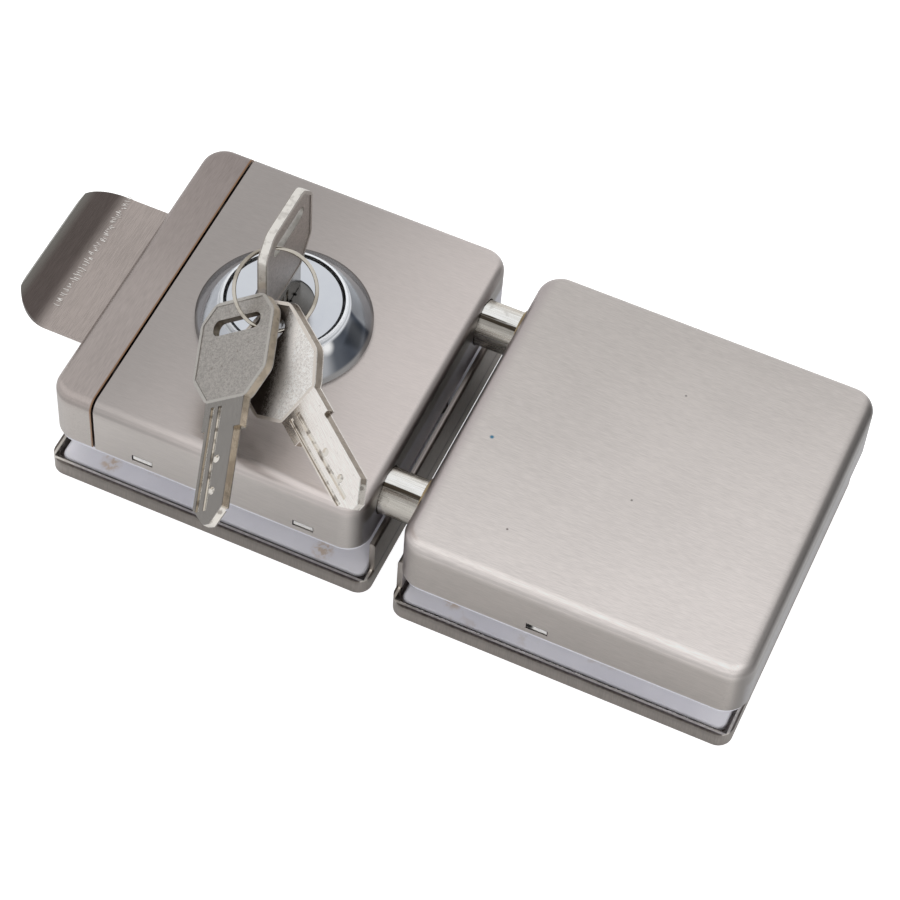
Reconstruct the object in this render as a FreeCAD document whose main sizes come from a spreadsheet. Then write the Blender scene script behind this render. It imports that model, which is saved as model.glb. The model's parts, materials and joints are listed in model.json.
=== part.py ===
"""Glass door lock: a lock unit and a strike unit that clamp on the two leaves of a frameless glass door.

The origin is the middle of the lock unit's back face, under the key cylinder. X runs from the lock towards
the strike, Y from the lower edge of the door fitting to its upper edge, and Z out of the door towards the
person with the key. Sizes are millimetres. The sheet holds every driving size, and each sketch, box, rod and
cut is bound to it by a formula.
"""
import math
import os
import re

import FreeCAD
import Part
import Sketcher

doc = FreeCAD.newDocument("glass_door_lock")
sheet = doc.addObject("Spreadsheet::Sheet", "Sizes")
reckoner = doc.addObject("Spreadsheet::Sheet", "Reckoner")
aliases = set()
known = {}
pieces = []
OUTPUT = "parts"

# Driving sizes: name, value in millimetres, degrees or a count, and what it is.
DRIVING = [
    ("case_half", 42.5, "half of the lock case along Y"),
    ("case_left", -40.1, "left end of the lock unit, the sliding strip's face"),
    ("case_right", 40.1, "right end of the lock unit, at the meeting edge"),
    ("case_base", 16.1, "height of the covers' lower edges over the back face"),
    ("case_height", 16.45, "height of a cover"),
    ("cover_wall", 1.2, "sheet thickness of the covers"),
    ("edge_round", 3.0, "rounding of the covers' top edges"),
    ("plan_round", 6.0, "rounding of the covers' corners seen from the front"),
    ("strip_width", 11.35, "width of the sliding strip"),
    ("strip_gap", 0.6, "gap between strip and cover"),
    ("strip_lift", 0.2, "clearance under the sliding strip"),
    ("base_sheet", 1.2, "sheet thickness of the base plates"),
    ("base_gap", 0.25, "gap round a base plate inside its cover"),
    ("front_pad", 1.1, "thickness of the front pads"),
    ("pad_inset", 0.4, "how far the front pads stay inside the case"),
    ("glass_gap", 11.0, "opening for the glass pane"),
    ("tray_sheet", 1.4, "sheet thickness of the trays"),
    ("tray_rim", 4.75, "height of the tray's rim"),
    ("tray_round", 3.6, "rounding of the tray's corners"),
    ("tray_reach", 1.2, "how far the lock tray reaches past the case on the left"),
    ("wall_reach", 1.8, "how far the meeting wall stands outside the case"),
    ("wall_drop", 0.7, "how far the meeting wall stays below the cover"),
    ("wall_inset", 3.0, "how far the meeting wall stays back from the tray's corners"),
    ("rear_pad_gap", 0.6, "gap between rear pad and rim"),
    ("rear_pad_round", 2.5, "rounding of the rear pad's corners"),
    ("pad_edge", 0.9, "rounding of the rear pad's top edge"),
    ("bolt_radius", 5.7, "radius of a bolt"),
    ("bolt_height", 24.4, "height of the bolts' axes"),
    ("bolt_middle", -1.15, "place of the middle between the bolts along Y"),
    ("bolt_inset", 15.25, "distance of a bolt's axis from the case's end"),
    ("bolt_run", 0.06, "running clearance of the bolts in their guides"),
    ("bolt_hole_gap", 0.3, "clearance round the bolts in the cover"),
    ("bolt_reach", 12.0, "how far the bolts enter the strike"),
    ("bolt_travel", 22.0, "stroke of the slide"),
    ("bolt_chamfer", 0.8, "chamfer of the bolts' tips"),
    ("unit_gap", 9.5, "gap between the two covers"),
    ("guide_width", 7.0, "width of a guide bar"),
    ("guide_inset", 4.0, "distance of the guide bars' ends from the case's ends"),
    ("screw_inset", 2.9, "distance of a guide bar's screw from the bar's end"),
    ("guide_room", 0.4, "gap between the bars and the cover's roof"),
    ("left_guide", -26.5, "left face of the left guide bar"),
    ("right_guide", 30.5, "left face of the right guide bar"),
    ("slide_plate_sheet", 2.0, "thickness of the slide plate"),
    ("slide_plate_lift", 1.4, "gap between base plate and slide plate"),
    ("slide_plate_half", 17.5, "half width of the slide plate"),
    ("slide_plate_end", 36.0, "right end of the slide plate"),
    ("slide_gap", 0.4, "clearance round the slide plate under the bars"),
    ("block_inset", 5.6, "distance of the slide block's ends from the case's ends"),
    ("block_width", 9.0, "width of the slide block"),
    ("pull_width", 43.5, "width of the finger pull"),
    ("pull_middle", -2.25, "place of the pull's middle along Y"),
    ("pull_sheet", 1.2, "sheet thickness of the pull"),
    ("pull_top", 28.6, "height of the pull's upper face"),
    ("pull_flat", 10.3, "length of the pull's flat part"),
    ("pull_lip", 9.7, "length of the pull's curled lip"),
    ("pull_curl", 15.5, "radius of the lip"),
    ("pull_round", 9.5, "rounding of the pull's corners"),
    ("screw_radius", 1.5, "radius of the small screws"),
    ("screw_head", 2.65, "head radius of the small screws"),
    ("screw_fit", 0.03, "gap between a screw and its thread"),
    ("screw_grip", 5.0, "how deep the small screws go into what they hold"),
    ("screw_end", 0.1, "free depth under a screw's end"),
    ("pull_screw_inset", 6.0, "distance of the pull's screws from its sides"),
    ("plate_screw_place", 8.0, "distance of the slide plate's screws from the middle"),
    ("bolt_screw_grip", 8.0, "how deep a bolt's screw goes into the bolt"),
    ("bolt_screw_head", 4.0, "height of the head of a bolt's screw"),
    ("pull_screw_head", 1.8, "height of the head of the pull's screws"),
    ("bar_inset", 4.5, "distance of the receiver bar's ends from the strike's ends"),
    ("bar_screw_inset", 6.5, "distance of the receiver bar's screws from the strike's ends"),
    ("clamp_radius", 2.0, "radius of the clamp screws"),
    ("clamp_head", 3.7, "head radius of the clamp screws"),
    ("clamp_length", 13.0, "length of the clamp screws"),
    ("post_radius", 4.0, "radius of the clamp posts"),
    ("post_gap", 0.8, "gap between a post and the tray"),
    ("post_spigot", 2.6, "radius of the post's riveted end"),
    ("post_place", 33.2, "place of the lock's posts along X"),
    ("post_spread", 14.0, "half of the distance between two posts"),
    ("dome_radius", 21.0, "outer radius of the rosette"),
    ("dome_height", 7.6, "height of the rosette"),
    ("dome_brim", 1.1, "straight brim of the rosette"),
    ("dome_curve", 13.0, "radius of the rosette's dome"),
    ("head_radius", 14.0, "radius of the cylinder's head"),
    ("head_height", 7.2, "height of the cylinder's head over the cover"),
    ("head_thick", 3.4, "thickness of the cylinder's head"),
    ("head_gap", 0.3, "groove between head and rosette"),
    ("barrel_radius", 11.0, "radius of the cylinder's barrel"),
    ("barrel_fit", 0.15, "clearance round the barrel"),
    ("barrel_bottom", 21.4, "height of the barrel's lower end"),
    ("nut_radius", 15.6, "corner radius of the cylinder's nut"),
    ("nut_thick", 3.4, "thickness of the cylinder's nut"),
    ("plug_radius", 6.4, "radius of the key plug"),
    ("plug_flange", 7.0, "radius of the plug's flange"),
    ("plug_flange_thick", 1.2, "thickness of the plug's flange"),
    ("plug_sunk", 0.35, "how far the plug lies below the head's face"),
    ("plug_fit", 0.05, "running clearance of the plug"),
    ("plug_flat", 5.0, "distance of the plug's flats from its axis"),
    ("plug_tail", 1.0, "how far the plug's tail passes the cam"),
    ("cam_hub", 9.0, "radius of the cam's hub"),
    ("cam_reach", 13.5, "reach of the cam's arm"),
    ("cam_arm", 8.0, "width of the cam's arm"),
    ("cam_gap", 0.05, "gap on each side of the cam"),
    ("window_half", 9.7, "half width of the slide plate's window"),
    ("notch_depth", 4.5, "depth of the locking notches"),
    ("notch_gap", 0.3, "play of the cam's arm in a notch"),
    ("pin_radius", 1.0, "radius of the tumbler pins"),
    ("pin_pitch", 4.0, "distance between the tumbler pins"),
    ("pin_first", 24.0, "height of the lowest pin"),
    ("pin_count", 4, "number of tumbler pins"),
    ("pin_shear", 8.0, "outer end of the driver pins"),
    ("spring_end", 10.1, "outer end of the pin springs"),
    ("spring_coil", 0.7, "radius of the pin springs"),
    ("spring_wire", 0.16, "wire radius of the pin springs"),
    ("spring_turns", 2.25, "turns of a pin spring"),
    ("key_thick", 2.4, "thickness of a key"),
    ("bow_width", 23.5, "width of a key's bow"),
    ("bow_length", 25.0, "length of a key's bow"),
    ("bow_top_cut", 4.0, "width of the bow's upper chamfer"),
    ("bow_top_drop", 4.5, "height of the bow's upper chamfer"),
    ("bow_low_cut", 5.5, "width of the bow's lower chamfer"),
    ("bow_low_drop", 6.5, "height of the bow's lower chamfer"),
    ("bow_round", 3.4, "rounding of the bow's corners"),
    ("bow_rim", 0.8, "width of the bow's raised rim"),
    ("bow_sink", 0.2, "depth of the bow's sunk face"),
    ("slot_length", 15.2, "length of the slot in the bow"),
    ("slot_width", 3.9, "width of the slot in the bow"),
    ("slot_drop", 4.4, "distance of the slot from the bow's top"),
    ("stub_width", 12.1, "width of the key's shoulder"),
    ("stub_length", 6.8, "length of the key's shoulder"),
    ("blade_width", 9.2, "width of the blade"),
    ("blade_shift", 0.3, "how far the blade is off the key's middle"),
    ("blade_length", 22.7, "length of the blade"),
    ("blade_tip", 1.8, "width of the blade's blunt tip"),
    ("tip_slope", 4.0, "length of the blade's tapered end"),
    ("groove_width", 1.2, "width of the milled grooves"),
    ("groove_depth", 0.5, "depth of the milled grooves"),
    ("groove_inner", 1.1, "distance of the inner groove from the key's middle"),
    ("groove_outer", 3.5, "distance of the outer groove from the key's middle"),
    ("groove_length", 25.0, "length of the milled grooves"),
    ("dimple_radius", 1.0, "radius of the blade's dimples"),
    ("dimple_first", 7.2, "distance of the first dimple from the shoulder"),
    ("dimple_pitch", 7.6, "distance between the dimples"),
    ("dimple_place", 0.3, "distance of the dimples from the key's middle"),
    ("key_lift", 0.1, "gap between the key's shoulder and the plug"),
    ("key_fit", 0.1, "clearance round the blade in the keyway"),
    ("ring_radius", 9.35, "radius of the split ring's wire line"),
    ("ring_wire", 0.45, "wire radius of the split ring"),
    ("ring_pitch", 1.32, "distance between the ring's two turns"),
    ("ring_turns", 1.92, "turns of the split ring"),
    ("window_length", 5.3, "length of the clip windows"),
    ("window_height", 2.0, "height of the clip windows"),
    ("window_rise", 1.5, "distance of the clip windows from the cover's edge"),
    ("lock_window_near", -15.85, "place of the lock's first window along X"),
    ("lock_window_far", 25.5, "place of the lock's second window along X"),
    ("strike_window", 84.9, "place of the strike's window along X"),
    ("clip_fit", 0.25, "clearance of a clip in its window"),
    ("clip_sheet", 1.0, "thickness of a clip's root"),
    ("strike_length", 84.76, "length of the strike unit"),
    ("strike_more", 1.03, "how much further the strike case reaches along Y than the lock case"),
    ("strike_middle", -1.17, "place of the strike's middle along Y"),
    ("strike_tray_inset", 1.4, "how far the strike's tray stays inside the case on the right"),
    ("sleeve_wall", 0.45, "wall of the receiver sleeves"),
    ("sleeve_proud", 0.2, "how far the sleeves stand out of the strike's side"),
    ("bar_width", 8.0, "width of the receiver bar"),
    ("bar_place", 3.0, "distance of the receiver bar from the strike's side"),
]

# Sizes that follow from the driving ones: name and formula.
DERIVED = [
    ("case_top", "case_base + case_height"),
    ("bolt_spread", "case_half - bolt_inset"),
    ("guide_half", "case_half - guide_inset"),
    ("block_half", "case_half - block_inset"),
    ("strike_half", "case_half + strike_more"),
    ("roof", "case_top - cover_wall"),
    ("pad_base", "case_base - front_pad"),
    ("rear_pad_top", "pad_base - glass_gap"),
    ("floor_top", "case_base + base_sheet"),
    ("strip_right", "case_left + strip_width"),
    ("cover_left", "strip_right + strip_gap"),
    ("inner_half", "case_half - cover_wall"),
    ("inner_right", "case_right - cover_wall"),
    ("strip_inner", "case_left + cover_wall"),
    ("wall_top", "case_base - wall_drop"),
    ("wall_out", "case_right + wall_reach"),
    ("bolt_front_y", "bolt_middle - bolt_spread"),
    ("bolt_rear_y", "bolt_middle + bolt_spread"),
    ("strike_left", "case_right + unit_gap"),
    ("strike_right", "strike_left + strike_length"),
    ("strike_front", "strike_middle - strike_half"),
    ("strike_rear", "strike_middle + strike_half"),
    ("bolt_end", "strike_left + bolt_reach"),
    ("guide_top", "roof - guide_room"),
    ("plate_low", "floor_top + slide_plate_lift"),
    ("plate_high", "plate_low + slide_plate_sheet"),
    ("block_left", "strip_inner + 0.3"),
    ("block_right", "block_left + block_width"),
    ("pull_low", "pull_top - pull_sheet"),
    ("pull_front", "pull_middle - pull_width / 2"),
    ("pull_rear", "pull_middle + pull_width / 2"),
    ("post_low", "tray_sheet + post_gap"),
    ("strike_post", "strike_left + bar_place + bar_width / 2"),
    ("head_top", "case_top + head_height"),
    ("head_low", "head_top - head_thick"),
    ("plug_top", "head_top - plug_sunk"),
    ("cam_high", "plate_high - cam_gap"),
    ("cam_low", "plate_low + cam_gap"),
    ("tail_low", "cam_low - plug_tail"),
    ("key_top", "plug_top + key_lift + stub_length + bow_length"),
    ("key_length", "bow_length + stub_length + blade_length"),
    ("strike_post_front", "strike_middle - post_spread"),
]


def fill_sheet():
    """Write the driving sizes and the formulas into the sheet, each with its alias."""
    row = 0
    for name, amount, meaning in DRIVING:
        row += 1
        sheet.set(f"A{row}", name)
        sheet.set(f"B{row}", str(amount))
        sheet.setAlias(f"B{row}", name)
        sheet.set(f"C{row}", meaning)
        aliases.add(name)
    for name, formula in DERIVED:
        row += 1
        sheet.set(f"A{row}", name)
        sheet.set(f"B{row}", "=" + formula)
        sheet.setAlias(f"B{row}", name)
        aliases.add(name)
    doc.recompute()


def linked(formula):
    """Return the formula with each of the sheet's names led by the sheet."""
    return re.sub(r"[a-z][a-z_]*", lambda word: "Sizes." + word.group() if word.group() in aliases
                  else word.group(), formula)


def number(formula):
    """Return what a formula of the sheet's names comes to."""
    if formula not in known:
        reckoner.set("A1", "=" + linked(formula))
        reckoner.recompute()
        known[formula] = float(reckoner.get("A1"))
    return known[formula]


def bind(item, prop, formula):
    """Bind a property to a formula of the sheet's names."""
    item.setExpression(prop, linked(formula))


def keep(item, label):
    """Name a finished piece and remember it for the export."""
    item.Label = label
    pieces.append(item)
    return item


# Sketch and feature helpers for bodies.
def new_body(label):
    """Start a body that becomes the node of the same name."""
    return keep(doc.addObject("PartDesign::Body", label + "_body"), label)


def plane_of(body, role):
    """Return one of the body's own origin planes."""
    return next(item for item in body.Origin.OriginFeatures if item.Role == role)


def new_sketch(body, role, lift):
    """Start a sketch on one of the body's planes, lifted by a formula along the plane's normal."""
    sketch = body.newObject("Sketcher::SketchObject", body.Name + "_sketch")
    sketch.AttachmentSupport = (plane_of(body, role), "")
    sketch.MapMode = "FlatFace"
    bind(sketch, "AttachmentOffset.Base.z", lift)
    return sketch


def hold_point(sketch, edge, end, across, along):
    """Hold one end of an edge at a place given by two formulas."""
    for kind, formula in (("DistanceX", across), ("DistanceY", along)):
        index = sketch.addConstraint(Sketcher.Constraint(kind, -1, 1, edge, end, number(formula)))
        sketch.setExpression(f"Constraints[{index}]", linked(formula))


def arc_between(start, finish, radius):
    """Return the short arc between two points; a negative radius bulges to the right of the way."""
    chord = finish - start
    side = FreeCAD.Vector(-chord.y, chord.x, 0).normalize()
    depth = math.sqrt(radius * radius - chord.Length ** 2 / 4)
    centre = (start + finish) / 2 - side * math.copysign(depth, radius)
    first = math.atan2(start.y - centre.y, start.x - centre.x)
    last = math.atan2(finish.y - centre.y, finish.x - centre.x)
    forward = (last - first) % (2 * math.pi) < math.pi
    span = (first, last) if forward else (last, first)
    circle = Part.Circle(centre, FreeCAD.Vector(0, 0, 1), abs(radius))
    return Part.ArcOfCircle(circle, *span), forward


def draw_loop(sketch, corners, arcs=None):
    """Draw a closed loop through corners; arcs gives, by edge number, the formula of its radius."""
    arcs = arcs or {}
    points = [FreeCAD.Vector(number(across), number(along), 0) for across, along in corners]
    edges = []
    for place, start in enumerate(points):
        finish = points[(place + 1) % len(points)]
        forward = True
        if place in arcs:
            shape, forward = arc_between(start, finish, number(arcs[place]))
        else:
            shape = Part.LineSegment(start, finish)
        edges.append((sketch.addGeometry(shape), forward))
    for place, (edge, forward) in enumerate(edges):
        after, after_forward = edges[(place + 1) % len(edges)]
        end = 2 if forward else 1
        begin = 1 if after_forward else 2
        sketch.addConstraint(Sketcher.Constraint("Coincident", edge, end, after, begin))
    for place, (edge, forward) in enumerate(edges):
        hold_point(sketch, edge, 1 if forward else 2, *corners[place])
        if place in arcs:
            size = abs(number(arcs[place]))
            index = sketch.addConstraint(Sketcher.Constraint("Radius", edge, size))
            sketch.setExpression(f"Constraints[{index}]", f"abs({linked(arcs[place])})")


def draw_box(sketch, left, right, low, high):
    """Draw a rectangle between four formulas."""
    draw_loop(sketch, [(left, low), (right, low), (right, high), (left, high)])


def draw_circle(sketch, across, along, radius):
    """Draw a circle about a place given by formulas."""
    centre = FreeCAD.Vector(number(across), number(along), 0)
    edge = sketch.addGeometry(Part.Circle(centre, FreeCAD.Vector(0, 0, 1), number(radius)))
    hold_point(sketch, edge, 3, across, along)
    index = sketch.addConstraint(Sketcher.Constraint("Radius", edge, number(radius)))
    sketch.setExpression(f"Constraints[{index}]", linked(radius))


def pad(body, sketch, length, reverse=False):
    """Raise a sketch along its normal, or against it."""
    feature = body.newObject("PartDesign::Pad", body.Name + "_pad")
    feature.Profile = sketch
    feature.Reversed = reverse
    bind(feature, "Length", length)
    doc.recompute()
    return feature


def pocket(body, sketch, length, forward=True):
    """Cut a sketch along its normal, or against it."""
    feature = body.newObject("PartDesign::Pocket", body.Name + "_pocket")
    feature.Profile = sketch
    feature.Reversed = forward
    bind(feature, "Length", length)
    doc.recompute()
    return feature


def revolve(body, sketch):
    """Turn a profile about the body's Z axis."""
    feature = body.newObject("PartDesign::Revolution", body.Name + "_turned")
    feature.Profile = sketch
    feature.ReferenceAxis = (next(item for item in body.Origin.OriginFeatures if item.Role == "Z_Axis"), [""])
    feature.Angle = 360
    doc.recompute()
    return feature


def round_edges(body, radius, wanted):
    """Round the edges of the body's tip for which the test holds."""
    base = body.Tip
    names = [f"Edge{place + 1}" for place, edge in enumerate(base.Shape.Edges) if wanted(edge)]
    feature = body.newObject("PartDesign::Fillet", body.Name + "_round")
    feature.Base = (base, names)
    bind(feature, "Radius", radius)
    doc.recompute()
    return feature


def bevel_edges(body, size, wanted):
    """Chamfer the edges of the body's tip for which the test holds."""
    base = body.Tip
    names = [f"Edge{place + 1}" for place, edge in enumerate(base.Shape.Edges) if wanted(edge)]
    feature = body.newObject("PartDesign::Chamfer", body.Name + "_bevel")
    feature.Base = (base, names)
    bind(feature, "Size", size)
    doc.recompute()
    return feature


def shell(body, wall, opened):
    """Hollow the body's tip inwards, open at the faces for which the test holds."""
    base = body.Tip
    names = [f"Face{place + 1}" for place, face in enumerate(base.Shape.Faces) if opened(face)]
    feature = body.newObject("PartDesign::Thickness", body.Name + "_shell")
    feature.Base = (base, names)
    feature.Reversed = True
    bind(feature, "Value", wall)
    doc.recompute()
    return feature


def near(first, second):
    """Tell whether two places are the same within a hair."""
    return abs(first - second) < 1e-4


def upright(edge):
    """Tell whether an edge is a straight line along Z."""
    if len(edge.Vertexes) < 2:
        return False
    first, last = (vertex.Point for vertex in edge.Vertexes[:2])
    return near(first.x, last.x) and near(first.y, last.y) and not near(first.z, last.z)


def level(edge, height):
    """Tell whether an edge lies at one height."""
    return near(edge.BoundBox.ZMin, height) and near(edge.BoundBox.ZMax, height)


def flat_at(face, axis, place):
    """Tell whether a face lies flat at a place along an axis."""
    box = face.BoundBox
    span = {"X": (box.XMin, box.XMax), "Y": (box.YMin, box.YMax), "Z": (box.ZMin, box.ZMax)}[axis]
    return near(span[0], place) and near(span[1], place)


# Primitive helpers for the plain pieces.
def place_at(item, spot):
    """Bind the base of a primitive's placement to three formulas."""
    for axis, formula in zip("xyz", spot):
        bind(item, f"Placement.Base.{axis}", formula)


def block(low, high):
    """Make a box between two corners given by formulas."""
    item = doc.addObject("Part::Box", "block")
    for prop, start, finish in zip(("Length", "Width", "Height"), low, high):
        bind(item, prop, f"({finish}) - ({start})")
    place_at(item, low)
    return item


TURNS = {
    "Z": FreeCAD.Rotation(),
    "X": FreeCAD.Rotation(FreeCAD.Vector(0, 1, 0), 90),
    "-X": FreeCAD.Rotation(FreeCAD.Vector(0, 1, 0), -90),
}


def rod(foot, radius, length, axis="Z"):
    """Make a cylinder from its foot along an axis."""
    item = doc.addObject("Part::Cylinder", "rod")
    item.Placement = FreeCAD.Placement(FreeCAD.Vector(), TURNS[axis])
    bind(item, "Radius", radius)
    bind(item, "Height", length)
    place_at(item, foot)
    return item


def taper(foot, low_radius, high_radius, length, axis="Z"):
    """Make a cone from its foot along an axis."""
    item = doc.addObject("Part::Cone", "taper")
    item.Placement = FreeCAD.Placement(FreeCAD.Vector(), TURNS[axis])
    bind(item, "Radius1", low_radius)
    bind(item, "Radius2", high_radius)
    bind(item, "Height", length)
    place_at(item, foot)
    return item


def joined(shapes):
    """Fuse several shapes."""
    item = doc.addObject("Part::MultiFuse", "joined")
    item.Shapes = shapes
    item.Refine = True
    doc.recompute()
    return item


def without(base, tools):
    """Cut one or more shapes from a base."""
    item = doc.addObject("Part::Cut", "cut")
    item.Base = base
    item.Tool = tools[0] if len(tools) == 1 else joined(tools)
    item.Refine = True
    doc.recompute()
    return item


def together(label, shapes):
    """Hold alike loose pieces in one node."""
    item = doc.addObject("Part::Compound", "group")
    item.Links = shapes
    doc.recompute()
    return keep(item, label)


def flat_screw(spot, foot, radius, head, length):
    """Make a countersunk screw that stands on its head, with a cross recess left to the finish."""
    cone_height = f"{head} - {radius}"
    cone = taper((*spot, foot), head, radius, cone_height)
    shank = rod((*spot, f"{foot} + {cone_height}"), radius, f"{length} - ({cone_height})")
    return joined([cone, shank])


def screw_hole(spot, foot, radius, head, length):
    """Make the space that a countersunk screw needs, a hair wider than the screw."""
    cone_height = f"{head} - {radius}"
    cone = taper((*spot, foot), f"{head} + screw_fit", f"{radius} + screw_fit", cone_height)
    shank = rod((*spot, foot), f"{radius} + screw_fit", length)
    return joined([cone, shank])


# Covers, strip and trays.
def make_cover(label, left, right, front, rear, low, round_left, round_right):
    """Make a deep drawn cover: a block with rounded ends and top, hollowed from below."""
    body = new_body(label)
    sketch = new_sketch(body, "XY_Plane", low)
    draw_box(sketch, left, right, front, rear)
    pad(body, sketch, f"case_top - ({low})")
    ends = [number(right)] if round_right else []
    ends += [number(left)] if round_left else []
    round_edges(body, "plan_round", lambda edge: upright(edge)
                and any(near(edge.Vertexes[0].X, end) for end in ends))
    top = number("case_top")
    open_ends = [] if round_left else [number(left)]
    open_ends += [] if round_right else [number(right)]

    def on_rim(edge):
        box = edge.BoundBox
        at_open_end = any(near(box.XMin, end) and near(box.XMax, end) for end in open_ends)
        return level(edge, top) and not at_open_end

    round_edges(body, "edge_round", on_rim)
    bottom = number(low)
    shell(body, "cover_wall", lambda face: flat_at(face, "Z", bottom)
          or any(flat_at(face, "X", end) for end in open_ends))
    return body


def cut_side_windows(body, middles, front, rear):
    """Cut the clip windows through the front and rear walls of a cover."""
    for wall, deep in ((front, f"({front}) + cover_wall"), (rear, rear)):
        sketch = new_sketch(body, "XZ_Plane", f"-({deep})")
        for middle in middles:
            draw_box(sketch, f"{middle} - window_length / 2", f"{middle} + window_length / 2",
                     "case_base + window_rise", "case_base + window_rise + window_height")
        pocket(body, sketch, "cover_wall * 1.01")


def cut_bolt_holes(body, wall_inner, radius):
    """Cut the two bolt holes through a side wall, from its inner face along X."""
    sketch = new_sketch(body, "YZ_Plane", wall_inner)
    for place in ("bolt_front_y", "bolt_rear_y"):
        draw_circle(sketch, place, "bolt_height", radius)
    pocket(body, sketch, "cover_wall * 2")


def make_lock_cover():
    """Make the lock's cover, open towards the strip, with its cylinder hole."""
    body = make_cover("lock_cover", "cover_left", "case_right", "-case_half", "case_half",
                      "case_base", False, True)
    cut_side_windows(body, ("lock_window_near", "lock_window_far"), "-case_half", "case_half")
    cut_bolt_holes(body, "inner_right - cover_wall / 2", "bolt_radius + bolt_hole_gap")
    sketch = new_sketch(body, "XY_Plane", "roof - cover_wall / 2")
    draw_circle(sketch, "0", "0", "barrel_radius + barrel_fit")
    pocket(body, sketch, "cover_wall * 2")


def make_slide_strip():
    """Make the sliding strip, open towards the cover, with the slit for the finger pull."""
    body = make_cover("slide_strip", "case_left", "strip_right", "-case_half", "case_half",
                      "case_base + strip_lift", True, False)
    sketch = new_sketch(body, "YZ_Plane", "case_left - cover_wall / 2")
    draw_box(sketch, "pull_front - 0.1", "pull_rear + 0.1", "pull_low - 0.05", "pull_top + 0.05")
    pocket(body, sketch, "cover_wall * 2")


def make_strike_cover():
    """Make the strike's cover with its two bolt holes."""
    body = make_cover("strike_cover", "strike_left", "strike_right", "strike_front", "strike_rear",
                      "case_base", True, True)
    cut_side_windows(body, ("strike_window",), "strike_front", "strike_rear")
    cut_bolt_holes(body, "strike_left - cover_wall / 2",
                   "bolt_radius + bolt_hole_gap + sleeve_wall + screw_fit")


def make_base(label, left, right, front, rear, windows, holes, posts, screws):
    """Make a base plate with its upturned clips; holes, posts and screws are cut through it."""
    plate = doc.addObject("PartDesign::Body", label + "_plate")
    outline = new_sketch(plate, "XY_Plane", "case_base")
    draw_box(outline, left, right, front, rear)
    pad(plate, outline, "base_sheet")
    round_edges(plate, "plan_round - cover_wall - base_gap", upright)
    clips = []
    low = "case_base + window_rise + clip_fit"
    high = "case_base + window_rise + window_height - clip_fit * 2"
    for middle in windows:
        start = f"{middle} - window_length / 2 + clip_fit"
        finish = f"{middle} + window_length / 2 - clip_fit"
        for edge, sign in ((front, "-"), (rear, "+")):
            other = "+" if sign == "-" else "-"
            root = (edge, f"{edge} {other} clip_sheet")
            nose = (f"{edge} {sign} (base_gap + cover_wall * 0.8)", edge)
            for (near_y, far_y), foot, head in ((root, "floor_top", high), (nose, low, high)):
                span = (near_y, far_y) if number(near_y) < number(far_y) else (far_y, near_y)
                clips.append(block((start, span[0], foot), (finish, span[1], head)))
    openings = [rod((*spot, "case_base - 1"), radius, "base_sheet + 2") for spot, radius in holes]
    openings += [rod((*spot, "case_base - 1"), "post_spigot + screw_fit", "base_sheet + 2") for spot in posts]
    openings += [screw_hole(spot, "case_base", "screw_radius", "screw_head", "base_sheet + 2")
                 for spot in screws]
    keep(without(joined([plate] + clips), openings), label)


def make_front_pad(label, left, right, front, rear, holes):
    """Make the pad between a base plate and the glass, rounded as the cover is."""
    body = new_body(label)
    sketch = new_sketch(body, "XY_Plane", "pad_base")
    draw_box(sketch, left, right, front, rear)
    pad(body, sketch, "front_pad")
    round_edges(body, "plan_round - pad_inset", upright)
    sketch = new_sketch(body, "XY_Plane", "pad_base - 1")
    for spot, radius in holes:
        draw_circle(sketch, *spot, radius)
    pocket(body, sketch, "front_pad + 2")


def make_rear_pad(label, left, right, front, rear, posts):
    """Make the pad on the tray, with rounded corners and a soft upper edge."""
    body = new_body(label)
    sketch = new_sketch(body, "XY_Plane", "tray_sheet")
    draw_box(sketch, left, right, front, rear)
    pad(body, sketch, "rear_pad_top - tray_sheet")
    round_edges(body, "rear_pad_round", upright)
    top = number("rear_pad_top")
    round_edges(body, "pad_edge", lambda edge: level(edge, top))
    sketch = new_sketch(body, "XY_Plane", "tray_sheet - 1")
    for spot in posts:
        draw_circle(sketch, *spot, "post_radius + 0.4")
    pocket(body, sketch, "glass_gap")


def make_tray(label, left, right, front, rear, wall_left, wall_right, outer_face, posts):
    """Make the back tray: a folded sheet with a low rim and the tall wall at the meeting edge."""
    body = new_body(label)
    sketch = new_sketch(body, "XY_Plane", "0")
    draw_box(sketch, left, right, front, rear)
    pad(body, sketch, "tray_rim")
    round_edges(body, "tray_round", upright)
    rim = number("tray_rim")
    shell(body, "tray_sheet", lambda face: flat_at(face, "Z", rim))
    sketch = new_sketch(body, "XY_Plane", "tray_sheet / 2")
    draw_box(sketch, wall_left, wall_right, f"({front}) + wall_inset + tray_sheet",
             f"({rear}) - wall_inset - tray_sheet")
    pad(body, sketch, "wall_top - tray_sheet / 2")
    top = number("wall_top")
    outside = number(outer_face)
    round_edges(body, "tray_sheet * 0.6", lambda edge: level(edge, top)
                and near(edge.BoundBox.XMin, outside) and near(edge.BoundBox.XMax, outside))
    for spot in posts:
        seat = new_sketch(body, "XY_Plane", "-1")
        draw_circle(seat, *spot, "clamp_radius + screw_fit")
        pocket(body, seat, "tray_sheet + 2")
    for spot in posts:
        sink = body.newObject("PartDesign::SubtractiveCone", label + "_sink")
        bind(sink, "Radius1", "clamp_head + screw_fit")
        bind(sink, "Radius2", "clamp_radius + screw_fit")
        bind(sink, "Height", "clamp_head - clamp_radius")
        bind(sink, "AttachmentOffset.Base.x", spot[0])
        bind(sink, "AttachmentOffset.Base.y", spot[1])
        sink.AttachmentSupport = (plane_of(body, "XY_Plane"), "")
        sink.MapMode = "FlatFace"
        doc.recompute()


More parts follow.
